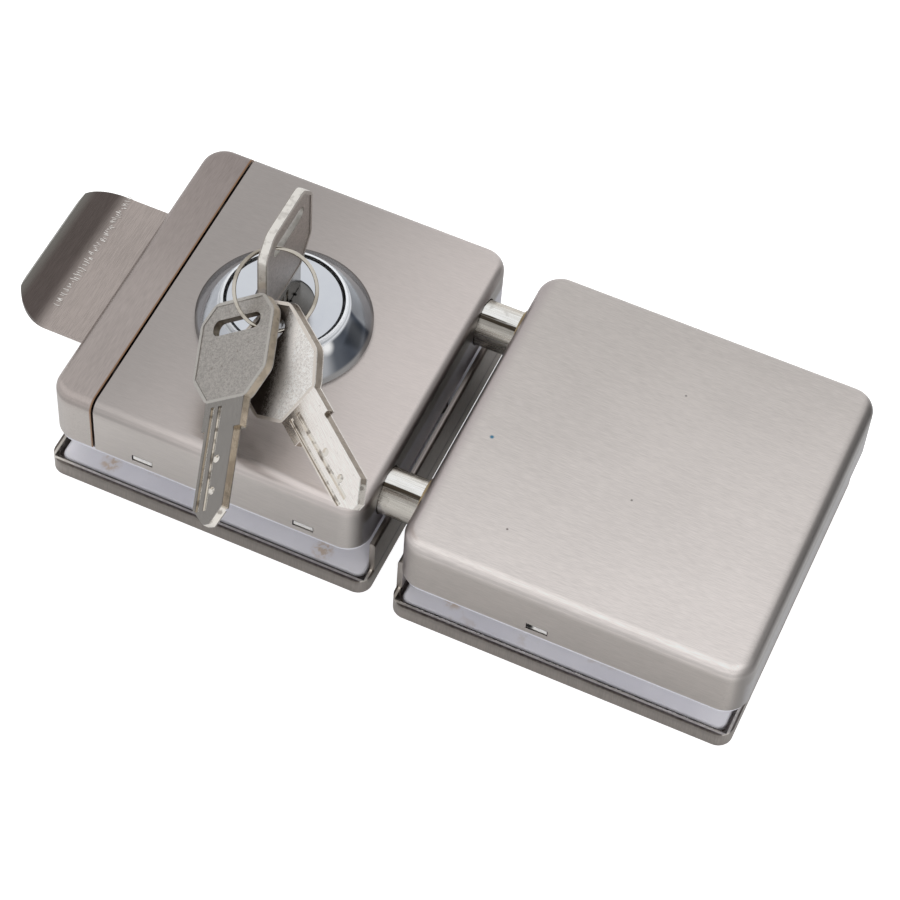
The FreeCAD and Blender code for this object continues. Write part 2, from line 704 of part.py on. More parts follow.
def make_posts(label, posts):
    """Make the two threaded clamp posts, riveted in the base plate."""
    made = []
    for spot in posts:
        stem = rod((*spot, "post_low"), "post_radius", "case_base - post_low")
        spigot = rod((*spot, "case_base"), "post_spigot", "base_sheet")
        bore = rod((*spot, "post_low - 1"), "clamp_radius + screw_fit", "clamp_length + screw_fit * 4")
        made.append(without(joined([stem, spigot]), [bore]))
    together(label, made)


def make_clamp_screws(label, posts):
    """Make the two countersunk screws that draw the tray to the base, each with a hexagon socket."""
    made = []
    for spot in posts:
        screw = flat_screw(spot, "0", "clamp_radius", "clamp_head", "clamp_length")
        socket = doc.addObject("Part::Prism", "socket")
        bind(socket, "Circumradius", "clamp_radius * 0.7")
        bind(socket, "Height", "2")
        place_at(socket, (*spot, "-1"))
        made.append(without(screw, [socket]))
    together(label, made)


LOCK_POSTS = (("post_place", "bolt_middle - post_spread"), ("post_place", "bolt_middle + post_spread"))
STRIKE_POSTS = (("strike_post", "strike_middle - post_spread"), ("strike_post", "strike_middle + post_spread"))


# Guides, slide and bolts.
def guide_screw_spots():
    """Return the places of the four screws that hold the guide bars."""
    return [(f"{bar} + guide_width / 2", f"{sign}(guide_half - screw_inset)") for bar in ("left_guide", "right_guide")
            for sign in ("-", "")]


def make_guides():
    """Make the two guide bars, bored for the bolts and cleared for the slide plate."""
    bars = []
    for left in ("left_guide", "right_guide"):
        bar = block((left, "-guide_half", "floor_top"), (f"{left} + guide_width", "guide_half", "guide_top"))
        room = block((f"{left} - 1", "-slide_plate_half - slide_gap * 2", "floor_top - 1"),
                     (f"{left} + guide_width + 1", "slide_plate_half + slide_gap * 2", "plate_high + slide_gap"))
        bores = [rod((f"{left} - 1", place, "bolt_height"), "bolt_radius + bolt_run", "guide_width + 2", "X")
                 for place in ("bolt_front_y", "bolt_rear_y")]
        holes = [rod((*spot, "case_base"), "screw_radius + screw_fit", "base_sheet + screw_grip + screw_end")
                 for spot in guide_screw_spots() if spot[0].startswith(left)]
        bars.append(without(bar, [room] + bores + holes))
    together("guide_bars", bars)
    together("guide_screws", [flat_screw(spot, "case_base", "screw_radius", "screw_head", "base_sheet + screw_grip")
                              for spot in guide_screw_spots()])


PULL_SCREWS = ("pull_front + pull_screw_inset", "pull_rear - pull_screw_inset")
PLATE_SCREWS = ("-plate_screw_place", "plate_screw_place")
BLOCK_AXIS = "block_left + block_width / 2"


def make_slide_block():
    """Make the block that joins strip, pull, slide plate and bolts."""
    core = block(("block_left", "-block_half", "plate_low"), ("block_right", "block_half", "pull_low"))
    lands = [block(("block_left + 1.8", start, "pull_low - 1"), ("block_right - 0.4", finish, "roof"))
             for start, finish in (("-block_half", "pull_front - 1"), ("pull_rear + 1", "block_half"))]
    seat = block(("block_left - 1", "-slide_plate_half - 0.1", "plate_low - 1"),
                 ("block_right + 1", "slide_plate_half + 0.1", "plate_high"))
    holes = []
    for place in ("bolt_front_y", "bolt_rear_y"):
        holes.append(rod(("block_left - 1", place, "bolt_height"), "clamp_radius + screw_fit",
                         "block_width + 2", "X"))
        holes.append(rod(("block_left - 1", place, "bolt_height"), "screw_head + 0.1", "bolt_screw_head + 1", "X"))
    holes += [rod((BLOCK_AXIS, place, "pull_low - screw_grip - screw_end"), "screw_radius + screw_fit", "screw_grip + 2")
              for place in PULL_SCREWS]
    holes += [rod((BLOCK_AXIS, place, "plate_low - 1"), "screw_radius + screw_fit", "slide_plate_sheet + screw_grip + screw_end + 1")
              for place in PLATE_SCREWS]
    keep(without(joined([core] + lands), [seat] + holes), "slide_block")


def make_slide_plate():
    """Make the slide plate with the cylinder's window and the two locking notches."""
    body = new_body("slide_plate")
    sketch = new_sketch(body, "XY_Plane", "plate_low")
    left = "-(cam_reach + 0.8)"
    right = "bolt_travel + window_half - 0.4"
    reach = "-(window_half + notch_depth)"
    side = "-window_half"
    first = ("-(cam_reach * 0.72 + cam_arm * 0.4)", "cam_arm / 2 + notch_gap")
    second = (f"bolt_travel + ({first[0]})", f"bolt_travel + ({first[1]})")
    draw_box(sketch, "block_left + 0.2", "slide_plate_end", "-slide_plate_half", "slide_plate_half")
    draw_loop(sketch, [
        (left, "window_half"), (left, side), (first[0], side), (first[0], reach), (first[1], reach),
        (first[1], side), (second[0], side), (second[0], reach), (second[1], reach), (second[1], side),
        (right, side), (right, "window_half")])
    for place in PLATE_SCREWS:
        draw_circle(sketch, BLOCK_AXIS, place, "screw_radius + screw_fit")
    pad(body, sketch, "slide_plate_sheet")
    for place in PLATE_SCREWS:
        sink = body.newObject("PartDesign::SubtractiveCone", "plate_sink")
        bind(sink, "Radius1", "screw_head + screw_fit")
        bind(sink, "Radius2", "screw_radius + screw_fit")
        bind(sink, "Height", "screw_head - screw_radius")
        bind(sink, "AttachmentOffset.Base.x", BLOCK_AXIS)
        bind(sink, "AttachmentOffset.Base.y", place)
        bind(sink, "AttachmentOffset.Base.z", "plate_low")
        sink.AttachmentSupport = (plane_of(body, "XY_Plane"), "")
        sink.MapMode = "FlatFace"
        doc.recompute()
    together("plate_screws", [flat_screw((BLOCK_AXIS, place), "plate_low", "screw_radius", "screw_head",
                                         "slide_plate_sheet + screw_grip") for place in PLATE_SCREWS])


def make_finger_pull():
    """Make the finger pull: a sheet that leaves the strip flat and curls up into a rounded lip."""
    body = new_body("finger_pull")
    bend = "case_left - pull_flat"
    tip = f"{bend} - pull_lip"
    rise = "pull_curl - sqrt(pull_curl * pull_curl - pull_lip * pull_lip)"
    outer = "pull_curl + pull_sheet"
    lean = "pull_lip / pull_curl"
    under_tip = f"{tip} - pull_sheet * {lean}"
    under_rise = f"pull_low + {outer} - ({outer}) * sqrt(1 - ({lean}) * ({lean}))"
    sketch = new_sketch(body, "XZ_Plane", "-pull_rear")
    draw_loop(sketch, [
        ("block_right - 0.6", "pull_low"), ("block_right - 0.6", "pull_top"), (bend, "pull_top"),
        (tip, f"pull_top + {rise}"), (under_tip, under_rise), (bend, "pull_low")],
        {2: "pull_curl", 4: "-(pull_curl + pull_sheet)"})
    pad(body, sketch, "pull_width")
    far = f"{under_tip} - 1"
    shoulder = f"{under_tip} + pull_round"
    for start, middle in (("pull_front", "pull_front + pull_round"), ("pull_rear", "pull_rear - pull_round")):
        beyond = f"{start} - 1" if start == "pull_front" else f"{start} + 1"
        corner = new_sketch(body, "XY_Plane", "pull_low - 1")
        radius = "-pull_round" if start == "pull_front" else "pull_round"
        draw_loop(corner, [(far, middle), (under_tip, middle), (shoulder, start), (shoulder, beyond),
                           (far, beyond)], {1: radius})
        pocket(body, corner, "pull_sheet + pull_lip + 2")
    drill = new_sketch(body, "XY_Plane", "pull_low - 1")
    for place in PULL_SCREWS:
        draw_circle(drill, BLOCK_AXIS, place, "screw_radius + screw_fit")
    pocket(body, drill, "pull_sheet + 2")
    made = []
    for place in PULL_SCREWS:
        head = rod((BLOCK_AXIS, place, "pull_top"), "screw_head", "pull_screw_head")
        shank = rod((BLOCK_AXIS, place, "pull_low - screw_grip"), "screw_radius", "pull_sheet + screw_grip")
        made.append(joined([head, shank]))
    together("pull_screws", made)


def make_bolts():
    """Make the two bolts and the screws that hold them to the slide block."""
    for label, place in (("bolt_front", "bolt_front_y"), ("bolt_rear", "bolt_rear_y")):
        stem = rod(("block_right", place, "bolt_height"), "bolt_radius",
                   "bolt_end - bolt_chamfer - block_right", "X")
        tip = taper(("bolt_end - bolt_chamfer", place, "bolt_height"), "bolt_radius",
                    "bolt_radius - bolt_chamfer", "bolt_chamfer", "X")
        bore = rod(("block_right - 1", place, "bolt_height"), "clamp_radius + screw_fit", "bolt_screw_grip + screw_end + 1", "X")
        keep(without(joined([stem, tip]), [bore]), label)
    screws = []
    for place in ("bolt_front_y", "bolt_rear_y"):
        head = rod(("block_left", place, "bolt_height"), "screw_head", "bolt_screw_head", "X")
        shank = rod(("block_left + bolt_screw_head", place, "bolt_height"), "clamp_radius",
                    "block_width - bolt_screw_head + bolt_screw_grip", "X")
        screws.append(joined([head, shank]))
    together("bolt_screws", screws)


# Cylinder, cam and tumblers.
def make_rosette():
    """Turn the domed rosette, with the recess that seats the cylinder's head."""
    body = new_body("rosette")
    sketch = new_sketch(body, "XZ_Plane", "0")
    draw_loop(sketch, [
        ("barrel_radius + barrel_fit", "case_top"), ("dome_radius", "case_top"),
        ("dome_radius", "case_top + dome_brim"), ("head_radius + head_gap + 0.5", "case_top + dome_height"),
        ("head_radius + head_gap", "case_top + dome_height"), ("head_radius + head_gap", "head_low"),
        ("barrel_radius + barrel_fit", "head_low")], {2: "dome_curve"})
    revolve(body, sketch)


def make_cylinder_body():
    """Turn the cylinder's body with its head, plug bore and row of pin chambers."""
    body = new_body("cylinder_body")
    sketch = new_sketch(body, "XZ_Plane", "0")
    bore = "plug_radius + plug_fit"
    sink = "plug_flange + plug_fit"
    seat = "plug_top - plug_flange_thick"
    draw_loop(sketch, [
        (bore, "barrel_bottom"), ("barrel_radius", "barrel_bottom"), ("barrel_radius", "head_low"),
        ("head_radius", "head_low"), ("head_radius", "head_top - 0.5"), ("head_radius - 0.5", "head_top"),
        (sink, "head_top"), (sink, seat), (bore, seat)])
    revolve(body, sketch)
    chambers = new_sketch(body, "YZ_Plane", "-(barrel_radius + 1)")
    draw_circle(chambers, "0", "pin_first", "pin_radius + plug_fit")
    row = pocket(body, chambers, "barrel_radius - plug_radius + 1.5")
    repeat_pins(body, row)


def repeat_pins(body, feature):
    """Repeat a pin chamber along the key."""
    pattern = body.newObject("PartDesign::LinearPattern", body.Name + "_row")
    pattern.Originals = [feature]
    pattern.Direction = (next(item for item in body.Origin.OriginFeatures if item.Role == "Z_Axis"), [""])
    bind(pattern, "Length", "pin_pitch * (pin_count - 1)")
    bind(pattern, "Occurrences", "pin_count")
    body.Tip = pattern
    doc.recompute()
    return pattern


def make_cylinder_nut():
    """Make the hexagon nut that draws the cylinder and rosette to the cover."""
    prism = doc.addObject("Part::Prism", "nut_blank")
    bind(prism, "Circumradius", "nut_radius")
    bind(prism, "Height", "nut_thick")
    place_at(prism, ("0", "0", "roof - nut_thick"))
    hole = rod(("0", "0", "roof - nut_thick - 1"), "barrel_radius + screw_fit", "nut_thick + 2")
    keep(without(prism, [hole]), "cylinder_nut")


def make_plug():
    """Turn the key plug, cut its keyway, its tail's flats and its pin chambers."""
    body = new_body("cylinder_plug")
    groove = "cam_low - 0.7"
    sketch = new_sketch(body, "XZ_Plane", "0")
    draw_loop(sketch, [
        ("0", "tail_low"), ("plug_radius", "tail_low"), ("plug_radius", groove), ("plug_radius - 0.5", groove),
        ("plug_radius - 0.5", "cam_low"), ("plug_radius", "cam_low"),
        ("plug_radius", "plug_top - plug_flange_thick"), ("plug_flange", "plug_top - plug_flange_thick"),
        ("plug_flange", "plug_top"), ("0", "plug_top")])
    revolve(body, sketch)
    keyway = new_sketch(body, "XY_Plane", "tail_low - 1")
    draw_box(keyway, "-(key_thick / 2 + key_fit)", "key_thick / 2 + key_fit",
             "blade_shift - blade_width / 2 - key_fit", "blade_shift + blade_width / 2 + key_fit")
    pocket(body, keyway, "plug_top - tail_low + 2")
    flats = new_sketch(body, "XY_Plane", "tail_low - 1")
    for start, finish in (("-plug_radius - 1", "-plug_flat"), ("plug_flat", "plug_radius + 1")):
        draw_box(flats, start, finish, "-plug_radius", "plug_radius")
    pocket(body, flats, "cam_high + cam_gap - tail_low + 1")
    chambers = new_sketch(body, "YZ_Plane", "-(plug_radius + 1)")
    draw_circle(chambers, "0", "pin_first", "pin_radius + plug_fit")
    row = pocket(body, chambers, "plug_radius")
    repeat_pins(body, row)


def make_cam():
    """Make the locking cam: a hub on the plug's flats with one arm."""
    hub = rod(("0", "0", "cam_low"), "cam_hub", "cam_high - cam_low")
    reach = rod(("0", "0", "cam_low"), "cam_reach", "cam_high - cam_low")
    arm = block(("-cam_reach", "-cam_arm / 2", "cam_low"), ("0", "cam_arm / 2", "cam_high"))
    tipped = doc.addObject("Part::Common", "arm_tip")
    tipped.Base = reach
    tipped.Tool = arm
    bore = rod(("0", "0", "cam_low - 1"), "plug_radius + plug_fit", "4")
    flat = block(("-plug_flat - plug_fit", "-plug_radius - 1", "cam_low - 2"),
                 ("plug_flat + plug_fit", "plug_radius + 1", "cam_high + 2"))
    hole = doc.addObject("Part::Common", "cam_hole")
    hole.Base = bore
    hole.Tool = flat
    keep(without(joined([hub, tipped]), [hole]), "lock_cam")
    ring = rod(("0", "0", "cam_low - 0.65"), "plug_radius + 1.1", "0.6")
    inside = rod(("0", "0", "cam_low - 2"), "plug_radius - 0.47", "4")
    gap = block(("-1.5", "0", "cam_low - 2"), ("1.5", "plug_radius + 2", "cam_high"))
    keep(without(ring, [inside, gap]), "cam_ring")


def pin_heights():
    """Return the formulas of the tumblers' heights."""
    return [f"pin_first + pin_pitch * {place}" for place in range(int(number("pin_count")))]


def make_tumblers():
    """Make the key pins, driver pins, their springs and the plugs that close the chambers."""
    blade = "key_thick / 2 + 0.06"
    key_pins = []
    drivers = []
    plugs = []
    springs = []
    for height in pin_heights():
        cone = taper((f"-({blade})", "0", height), "pin_radius * 0.4", "pin_radius", "0.6", "-X")
        stem = rod((f"-({blade} + 0.6)", "0", height), "pin_radius", f"plug_radius - 0.1 - ({blade} + 0.6)", "-X")
        key_pins.append(joined([cone, stem]))
        drivers.append(rod(("-(plug_radius + plug_fit + 0.02)", "0", height), "pin_radius",
                           "pin_shear - plug_radius - plug_fit - 0.02", "-X"))
        plugs.append(rod(("-spring_end", "0", height), "pin_radius + plug_fit - 0.01",
                         "barrel_radius - spring_end - 0.08", "-X"))
        springs.append(make_pin_spring(height))
    together("key_pins", key_pins)
    together("driver_pins", drivers)
    together("pin_plugs", plugs)
    together("pin_springs", springs)


def on_coil(radius, pitch, turn, hand):
    """Return the place and the direction of a coil's wire after some turns about Z."""
    angle = 2 * math.pi * turn * hand
    spot = FreeCAD.Vector(radius * math.cos(angle), radius * math.sin(angle), pitch * turn)
    way = FreeCAD.Vector(-radius * math.sin(angle) * hand, radius * math.cos(angle) * hand,
                         pitch / (2 * math.pi))
    return spot, way.normalize()


def tangent_arc(start, way, finish):
    """Return the arc that leaves a place in a direction and ends in another place."""
    chord = finish - start
    height = way * (chord.Length / 2) - chord * ((chord * way) / chord.Length / 2)
    lean = math.acos(max(-1.0, min(1.0, (chord * way) / chord.Length)))
    middle = (start + finish) / 2 + height.normalize() * (chord.Length / 2 * math.tan(lean / 2))
    return Part.Arc(start, middle, finish).toShape()


def arc_pair(start, leave, finish, arrive):
    """Return the two arcs that join two places and keep to the directions at both."""
    span = finish - start
    across = span * (leave + arrive)
    spread = 2 * (1 - leave * arrive)
    reach = (-across + math.sqrt(across * across + spread * (span * span))) / spread
    first = start + leave * reach
    second = finish - arrive * reach
    middle = (first + second) / 2
    return [tangent_arc(start, leave, middle), tangent_arc(middle, (second - first).normalize(), finish)]


def wound(radius, pitch, turns, wire, hand=1):
    """Wind a round wire about Z on pairs of arcs, a quarter turn each, middled on the origin."""
    steps = math.ceil(turns * 4)
    stops = [on_coil(radius, pitch, turns * (place / steps - 0.5), hand) for place in range(steps + 1)]
    edges = []
    for (start, leave), (finish, arrive) in zip(stops, stops[1:]):
        edges += arc_pair(start, leave, finish, arrive)
    section = Part.Wire(Part.makeCircle(wire, stops[0][0], stops[0][1]))
    return Part.Wire(edges).makePipeShell([section], True, False)


def least_gap(radius, pitch, turns, wire):
    """Measure on points how near a wound wire comes to itself."""
    steps = 240
    spots = [on_coil(radius, pitch, turns * place / steps, 1)[0] for place in range(steps + 1)]
    apart = math.ceil(steps / turns / 2)
    return min((near_spot - far_spot).Length for place, near_spot in enumerate(spots)
               for far_spot in spots[place + apart:]) - 2 * wire


def make_pin_spring(height):
    """Wind one small spring between a driver pin and its plug."""
    length = number("spring_end - pin_shear - 2 * spring_wire") - 0.02
    turns = number("spring_turns")
    wire = number("spring_wire")
    radius = number("spring_coil")
    spring = doc.addObject("Part::Feature", "pin_spring")
    spring.Shape = wound(radius, length / turns, turns, wire)
    middle = -(number("pin_shear") + number("spring_end")) / 2
    spring.Placement = FreeCAD.Placement(FreeCAD.Vector(middle, 0, number(height)), TURNS["-X"])
    if height == pin_heights()[0]:
        print("pin spring: least gap to itself", round(least_gap(radius, length / turns, turns, wire), 2), "mm")
    return spring


# Keys and ring.
BOW = [
    ("-(bow_width / 2 - bow_top_cut)", "0"), ("bow_width / 2 - bow_top_cut", "0"),
    ("bow_width / 2", "-bow_top_drop"), ("bow_width / 2", "-(bow_length - bow_low_drop)"),
    ("bow_width / 2 - bow_low_cut", "-bow_length"), ("-(bow_width / 2 - bow_low_cut)", "-bow_length"),
    ("-bow_width / 2", "-(bow_length - bow_low_drop)"), ("-bow_width / 2", "-bow_top_drop"),
]


def sunk_face():
    """Return the outline of the bow's sunk face: the bow's outline drawn in by the rim."""
    corner = "bow_rim * 0.45"
    wide = "bow_width / 2 - bow_rim"
    return [
        (f"-(bow_width / 2 - bow_top_cut - {corner})", "-bow_rim"),
        (f"bow_width / 2 - bow_top_cut - {corner}", "-bow_rim"),
        (wide, f"-(bow_top_drop + {corner})"), (wide, f"-(bow_length - bow_low_drop - {corner})"),
        (f"bow_width / 2 - bow_low_cut - {corner}", "-(bow_length - bow_rim)"),
        (f"-(bow_width / 2 - bow_low_cut - {corner})", "-(bow_length - bow_rim)"),
        (f"-({wide})", f"-(bow_length - bow_low_drop - {corner})"), (f"-({wide})", f"-(bow_top_drop + {corner})"),
    ]


def make_key(label):
    """Make a key flat in its own plane: bow with rim and slot, shoulder, and blade with grooves and dimples."""
    body = new_body(label)
    bow = new_sketch(body, "XY_Plane", "0")
    draw_loop(bow, BOW)
    pad(body, bow, "key_thick", reverse=True)
    round_edges(body, "bow_round", upright)
    stem = new_sketch(body, "XY_Plane", "0")
    stub_end = "-(bow_length + stub_length)"
    draw_box(stem, "-stub_width / 2", "stub_width / 2", stub_end, "-(bow_length - 1)")
    pad(body, stem, "key_thick", reverse=True)
    blade = new_sketch(body, "XY_Plane", "0")
    left = "blade_shift - blade_width / 2"
    right = "blade_shift + blade_width / 2"
    taper_start = "-(key_length - tip_slope)"
    draw_loop(blade, [
        (left, "-(bow_length + 1)"), (left, taper_start), ("-blade_tip / 2", "-key_length"),
        ("blade_tip / 2", "-key_length"), (right, taper_start), (right, "-(bow_length + 1)")])
    pad(body, blade, "key_thick", reverse=True)
    slot = new_sketch(body, "XY_Plane", "0.5")
    low = "-(slot_drop + slot_width)"
    draw_box(slot, "-slot_length / 2", "slot_length / 2", low, "-slot_drop")
    pocket(body, slot, "key_thick + 1", forward=False)
    round_edges(body, "slot_width * 0.48", lambda edge: upright(edge) and near(
        abs(edge.Vertexes[0].X), number("slot_length / 2")))
    for lift, forward in (("-bow_sink", True), ("-(key_thick - bow_sink)", False)):
        sunk = new_sketch(body, "XY_Plane", lift)
        draw_loop(sunk, sunk_face())
        pocket(body, sunk, "bow_sink + 0.5", forward=forward)
    cut_blade(body)
    return body


def cut_blade(body):
    """Mill the blade's grooves and dimples in both faces, turned half round from face to face."""
    start = "-(bow_length + 1.2)"
    finish = "-(bow_length + 1.2 + groove_length)"
    faces = (("-groove_depth", True, "-", ""), ("-(key_thick - groove_depth)", False, "", "-"))
    for lift, forward, side, across in faces:
        milled = new_sketch(body, "XY_Plane", lift)
        for place in ("groove_inner", "groove_outer"):
            middle = f"{side}{place}"
            draw_box(milled, f"{middle} - groove_width / 2", f"{middle} + groove_width / 2", finish, start)
        pocket(body, milled, "groove_depth + 0.5", forward=forward)
        dimples = new_sketch(body, "XY_Plane", lift)
        for step in range(2):
            along = f"-(bow_length + stub_length + dimple_first + dimple_pitch * {step})"
            draw_circle(dimples, f"{across}dimple_place", along, "dimple_radius")
        pocket(body, dimples, "groove_depth + 0.5", forward=forward)


def make_key_ring():
    """Wind the split ring: one wire of nearly two turns, about its own axis."""
    sizes = [number(name) for name in ("ring_radius", "ring_pitch", "ring_turns", "ring_wire")]
    ring = keep(doc.addObject("Part::Feature", "key_ring_coil"), "key_ring")
    ring.Shape = wound(*sizes, hand=-1)
    print("key ring: least gap to itself", round(least_gap(*sizes), 2), "mm")
    return ring


# Poses of the hanging pieces: place in millimetres, then turns about Z, Y and X in degrees.
RING_POSE = ((3.536, -12.054, 58.978), (117.65, -35.43, -2.23))
FRONT_KEY_POSE = ((-4.097, -14.724, 54.743), (3.98, -40.37, 21.08))
BACK_KEY_POSE = ((0.109, -17.258, 51.036), (48.15, -51.16, 3.23))


def posed(pose):
    """Return a placement from a place and three turns."""
    spot, turns = pose
    return FreeCAD.Placement(FreeCAD.Vector(*spot), FreeCAD.Rotation(*turns))


def make_keys():
    """Make the key in the cylinder, the ring in its slot and the two keys on the ring."""
    inserted = make_key("inserted_key")
    upright_turn = FreeCAD.Rotation(FreeCAD.Vector(1, 1, 1), 120)
    inserted.Placement = FreeCAD.Placement(
        FreeCAD.Vector(number("key_thick / 2"), 0, number("key_top")), upright_turn)
    front = make_key("loose_key_front")
    turned = FreeCAD.Placement(FreeCAD.Vector(0, 0, -number("key_thick")),
                               FreeCAD.Rotation(FreeCAD.Vector(0, 1, 0), 180))
    front.Placement = posed(FRONT_KEY_POSE).multiply(turned)
    back = make_key("loose_key_back")
    back.Placement = posed(BACK_KEY_POSE)
    ring = make_key_ring()
    ring.Placement = posed(RING_POSE)


# Strike inside.
def receiver_screw_spots():
    """Return the places of the screws that hold the receiver bar."""
    return [("strike_post", f"strike_middle {sign} (strike_half - bar_screw_inset)") for sign in "-+"]


def make_receiver():
    """Make the receiver bar, its two sleeves and its screws."""
    left = "strike_left + bar_place"
    bar = block((left, "strike_middle - strike_half + bar_inset", "floor_top"),
                (f"{left} + bar_width", "strike_middle + strike_half - bar_inset", "roof - 0.1"))
    inner = "bolt_radius + bolt_hole_gap"
    outer = f"{inner} + sleeve_wall"
    bores = [rod((f"{left} - 1", place, "bolt_height"), f"{outer} + screw_fit", "bar_width + 2", "X")
             for place in ("bolt_front_y", "bolt_rear_y")]
    holes = [rod((*spot, "case_base"), "screw_radius + screw_fit", "base_sheet + screw_grip + screw_end")
             for spot in receiver_screw_spots()]
    keep(without(bar, bores + holes), "receiver_bar")
    sleeves = []
    for place in ("bolt_front_y", "bolt_rear_y"):
        start = "strike_left - sleeve_proud"
        tube = rod((start, place, "bolt_height"), outer, f"{left} + bar_width - ({start})", "X")
        hole = rod((f"{start} - 1", place, "bolt_height"), inner, "bar_place + bar_width + 3", "X")
        sleeves.append(without(tube, [hole]))
    together("receiver_sleeves", sleeves)
    together("receiver_screws", [flat_screw(spot, "case_base", "screw_radius", "screw_head", "base_sheet + screw_grip")
                                 for spot in receiver_screw_spots()])


def make_lock_unit():
    """Make the lock unit's fixed pieces."""
    make_lock_cover()
    make_base("lock_base", "block_left", "inner_right - base_gap", "-(inner_half - base_gap)",
              "inner_half - base_gap", ("lock_window_near", "lock_window_far"),
              [(("0", "0"), "plug_radius + 1.6")], LOCK_POSTS, guide_screw_spots())
    screws_and_posts = [(spot, "post_radius + 0.2") for spot in LOCK_POSTS]
    make_front_pad("lock_front_pad", "case_left + pad_inset", "case_right - pad_inset",
                   "-(case_half - pad_inset)", "case_half - pad_inset", screws_and_posts)
    left = "case_left - tray_reach"
    inset = "tray_sheet + rear_pad_gap"
    make_tray("lock_tray", left, "wall_out", "-case_half", "case_half", "wall_out - tray_sheet", "wall_out",
              "wall_out", LOCK_POSTS)
    make_rear_pad("lock_rear_pad", f"{left} + {inset}", f"wall_out - ({inset})", f"-(case_half - ({inset}))",
                  f"case_half - ({inset})", LOCK_POSTS)
    make_posts("lock_posts", LOCK_POSTS)
    make_clamp_screws("lock_clamp_screws", LOCK_POSTS)
    make_guides()


def make_strike_unit():
    """Make the strike unit's pieces."""
    make_strike_cover()
    edge = "cover_wall + base_gap"
    make_base("strike_base", f"strike_left + {edge}", f"strike_right - ({edge})", f"strike_front + {edge}",
              f"strike_rear - ({edge})", ("strike_window",), [], STRIKE_POSTS, receiver_screw_spots())
    make_front_pad("strike_front_pad", "strike_left - wall_reach * 0.7 + tray_sheet + pad_inset", "strike_right - pad_inset",
                   "strike_front + pad_inset", "strike_rear - pad_inset",
                   [(spot, "post_radius + 0.2") for spot in STRIKE_POSTS])
    left = "strike_left - wall_reach * 0.7"
    right = "strike_right - strike_tray_inset"
    front = "strike_front + 0.7"
    rear = "strike_rear - 0.7"
    inset = "tray_sheet + rear_pad_gap"
    make_tray("strike_tray", left, right, front, rear, left, f"{left} + tray_sheet", left, STRIKE_POSTS)
    make_rear_pad("strike_rear_pad", f"{left} + {inset}", f"{right} - ({inset})", f"{front} + {inset}",
                  f"{rear} - ({inset})", STRIKE_POSTS)
    make_posts("strike_posts", STRIKE_POSTS)
    make_clamp_screws("strike_clamp_screws", STRIKE_POSTS)
    make_receiver()


def check_and_export():
    """Stop at any failed object, then write each piece to its own file."""
    doc.recompute()
    for item in doc.Objects:
        if {"Invalid", "Error"} & set(item.State):
            raise RuntimeError(f"{item.Name} ({item.Label}) failed: {item.State}")
    os.makedirs(OUTPUT, exist_ok=True)
    for item in pieces:
        shape = item.Shape
        if shape.isNull() or not shape.isValid() or not shape.Solids:
            raise RuntimeError(f"{item.Label} has no valid solid")
        shape.exportStep(os.path.join(OUTPUT, item.Label + ".step"))
        print(f"{item.Label}: {len(shape.Solids)} solids, {len(shape.Faces)} faces, {shape.Volume:.0f} mm3")


def main():
    """Build the lock."""
    fill_sheet()
    make_lock_unit()
    make_slide_strip()
    make_slide_block()
    make_slide_plate()
    make_finger_pull()
    make_bolts()
    make_rosette()
    make_cylinder_body()
    make_cylinder_nut()
    make_plug()
    make_cam()
    make_tumblers()
    make_keys()
    make_strike_unit()
    doc.removeObject(reckoner.Name)
    check_and_export()


main()
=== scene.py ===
"""Looks of a glass door lock: brushed covers, chromed cylinder, nickel bolts, pads, and keys on a ring."""

import json
import logging
import math
from dataclasses import dataclass
from enum import Enum
from functools import cache

import bpy
from mathutils import Matrix, Vector

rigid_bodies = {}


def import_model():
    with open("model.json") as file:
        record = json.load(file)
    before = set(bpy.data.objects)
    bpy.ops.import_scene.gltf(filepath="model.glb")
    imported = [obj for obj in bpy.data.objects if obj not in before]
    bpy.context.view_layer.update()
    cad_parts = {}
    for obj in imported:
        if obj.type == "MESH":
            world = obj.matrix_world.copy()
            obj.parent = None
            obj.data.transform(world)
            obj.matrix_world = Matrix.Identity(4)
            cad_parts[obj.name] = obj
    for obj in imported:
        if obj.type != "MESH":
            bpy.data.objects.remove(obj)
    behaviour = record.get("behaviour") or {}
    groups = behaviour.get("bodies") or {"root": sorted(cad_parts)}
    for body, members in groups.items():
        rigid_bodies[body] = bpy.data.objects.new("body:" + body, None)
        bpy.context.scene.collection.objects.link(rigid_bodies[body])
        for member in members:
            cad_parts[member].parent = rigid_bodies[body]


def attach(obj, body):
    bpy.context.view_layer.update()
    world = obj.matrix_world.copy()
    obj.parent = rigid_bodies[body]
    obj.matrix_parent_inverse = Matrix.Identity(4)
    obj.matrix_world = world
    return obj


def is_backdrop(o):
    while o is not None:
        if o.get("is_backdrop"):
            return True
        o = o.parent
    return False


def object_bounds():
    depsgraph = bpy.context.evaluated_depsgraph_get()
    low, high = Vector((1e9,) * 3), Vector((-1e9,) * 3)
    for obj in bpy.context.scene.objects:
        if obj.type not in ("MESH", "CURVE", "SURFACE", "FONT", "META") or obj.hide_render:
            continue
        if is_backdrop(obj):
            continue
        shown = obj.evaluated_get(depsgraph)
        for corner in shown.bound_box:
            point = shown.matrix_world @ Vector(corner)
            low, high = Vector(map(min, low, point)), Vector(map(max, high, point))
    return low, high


LOG = logging.getLogger("glass_door_lock")
Colour = tuple[float, float, float]
Triple = tuple[float, float, float]
Span = tuple[float, float]
Stops = tuple[tuple[float, Colour], ...]
Material = bpy.types.Material
Node = bpy.types.Node
Socket = bpy.types.NodeSocket
Tree = bpy.types.NodeTree

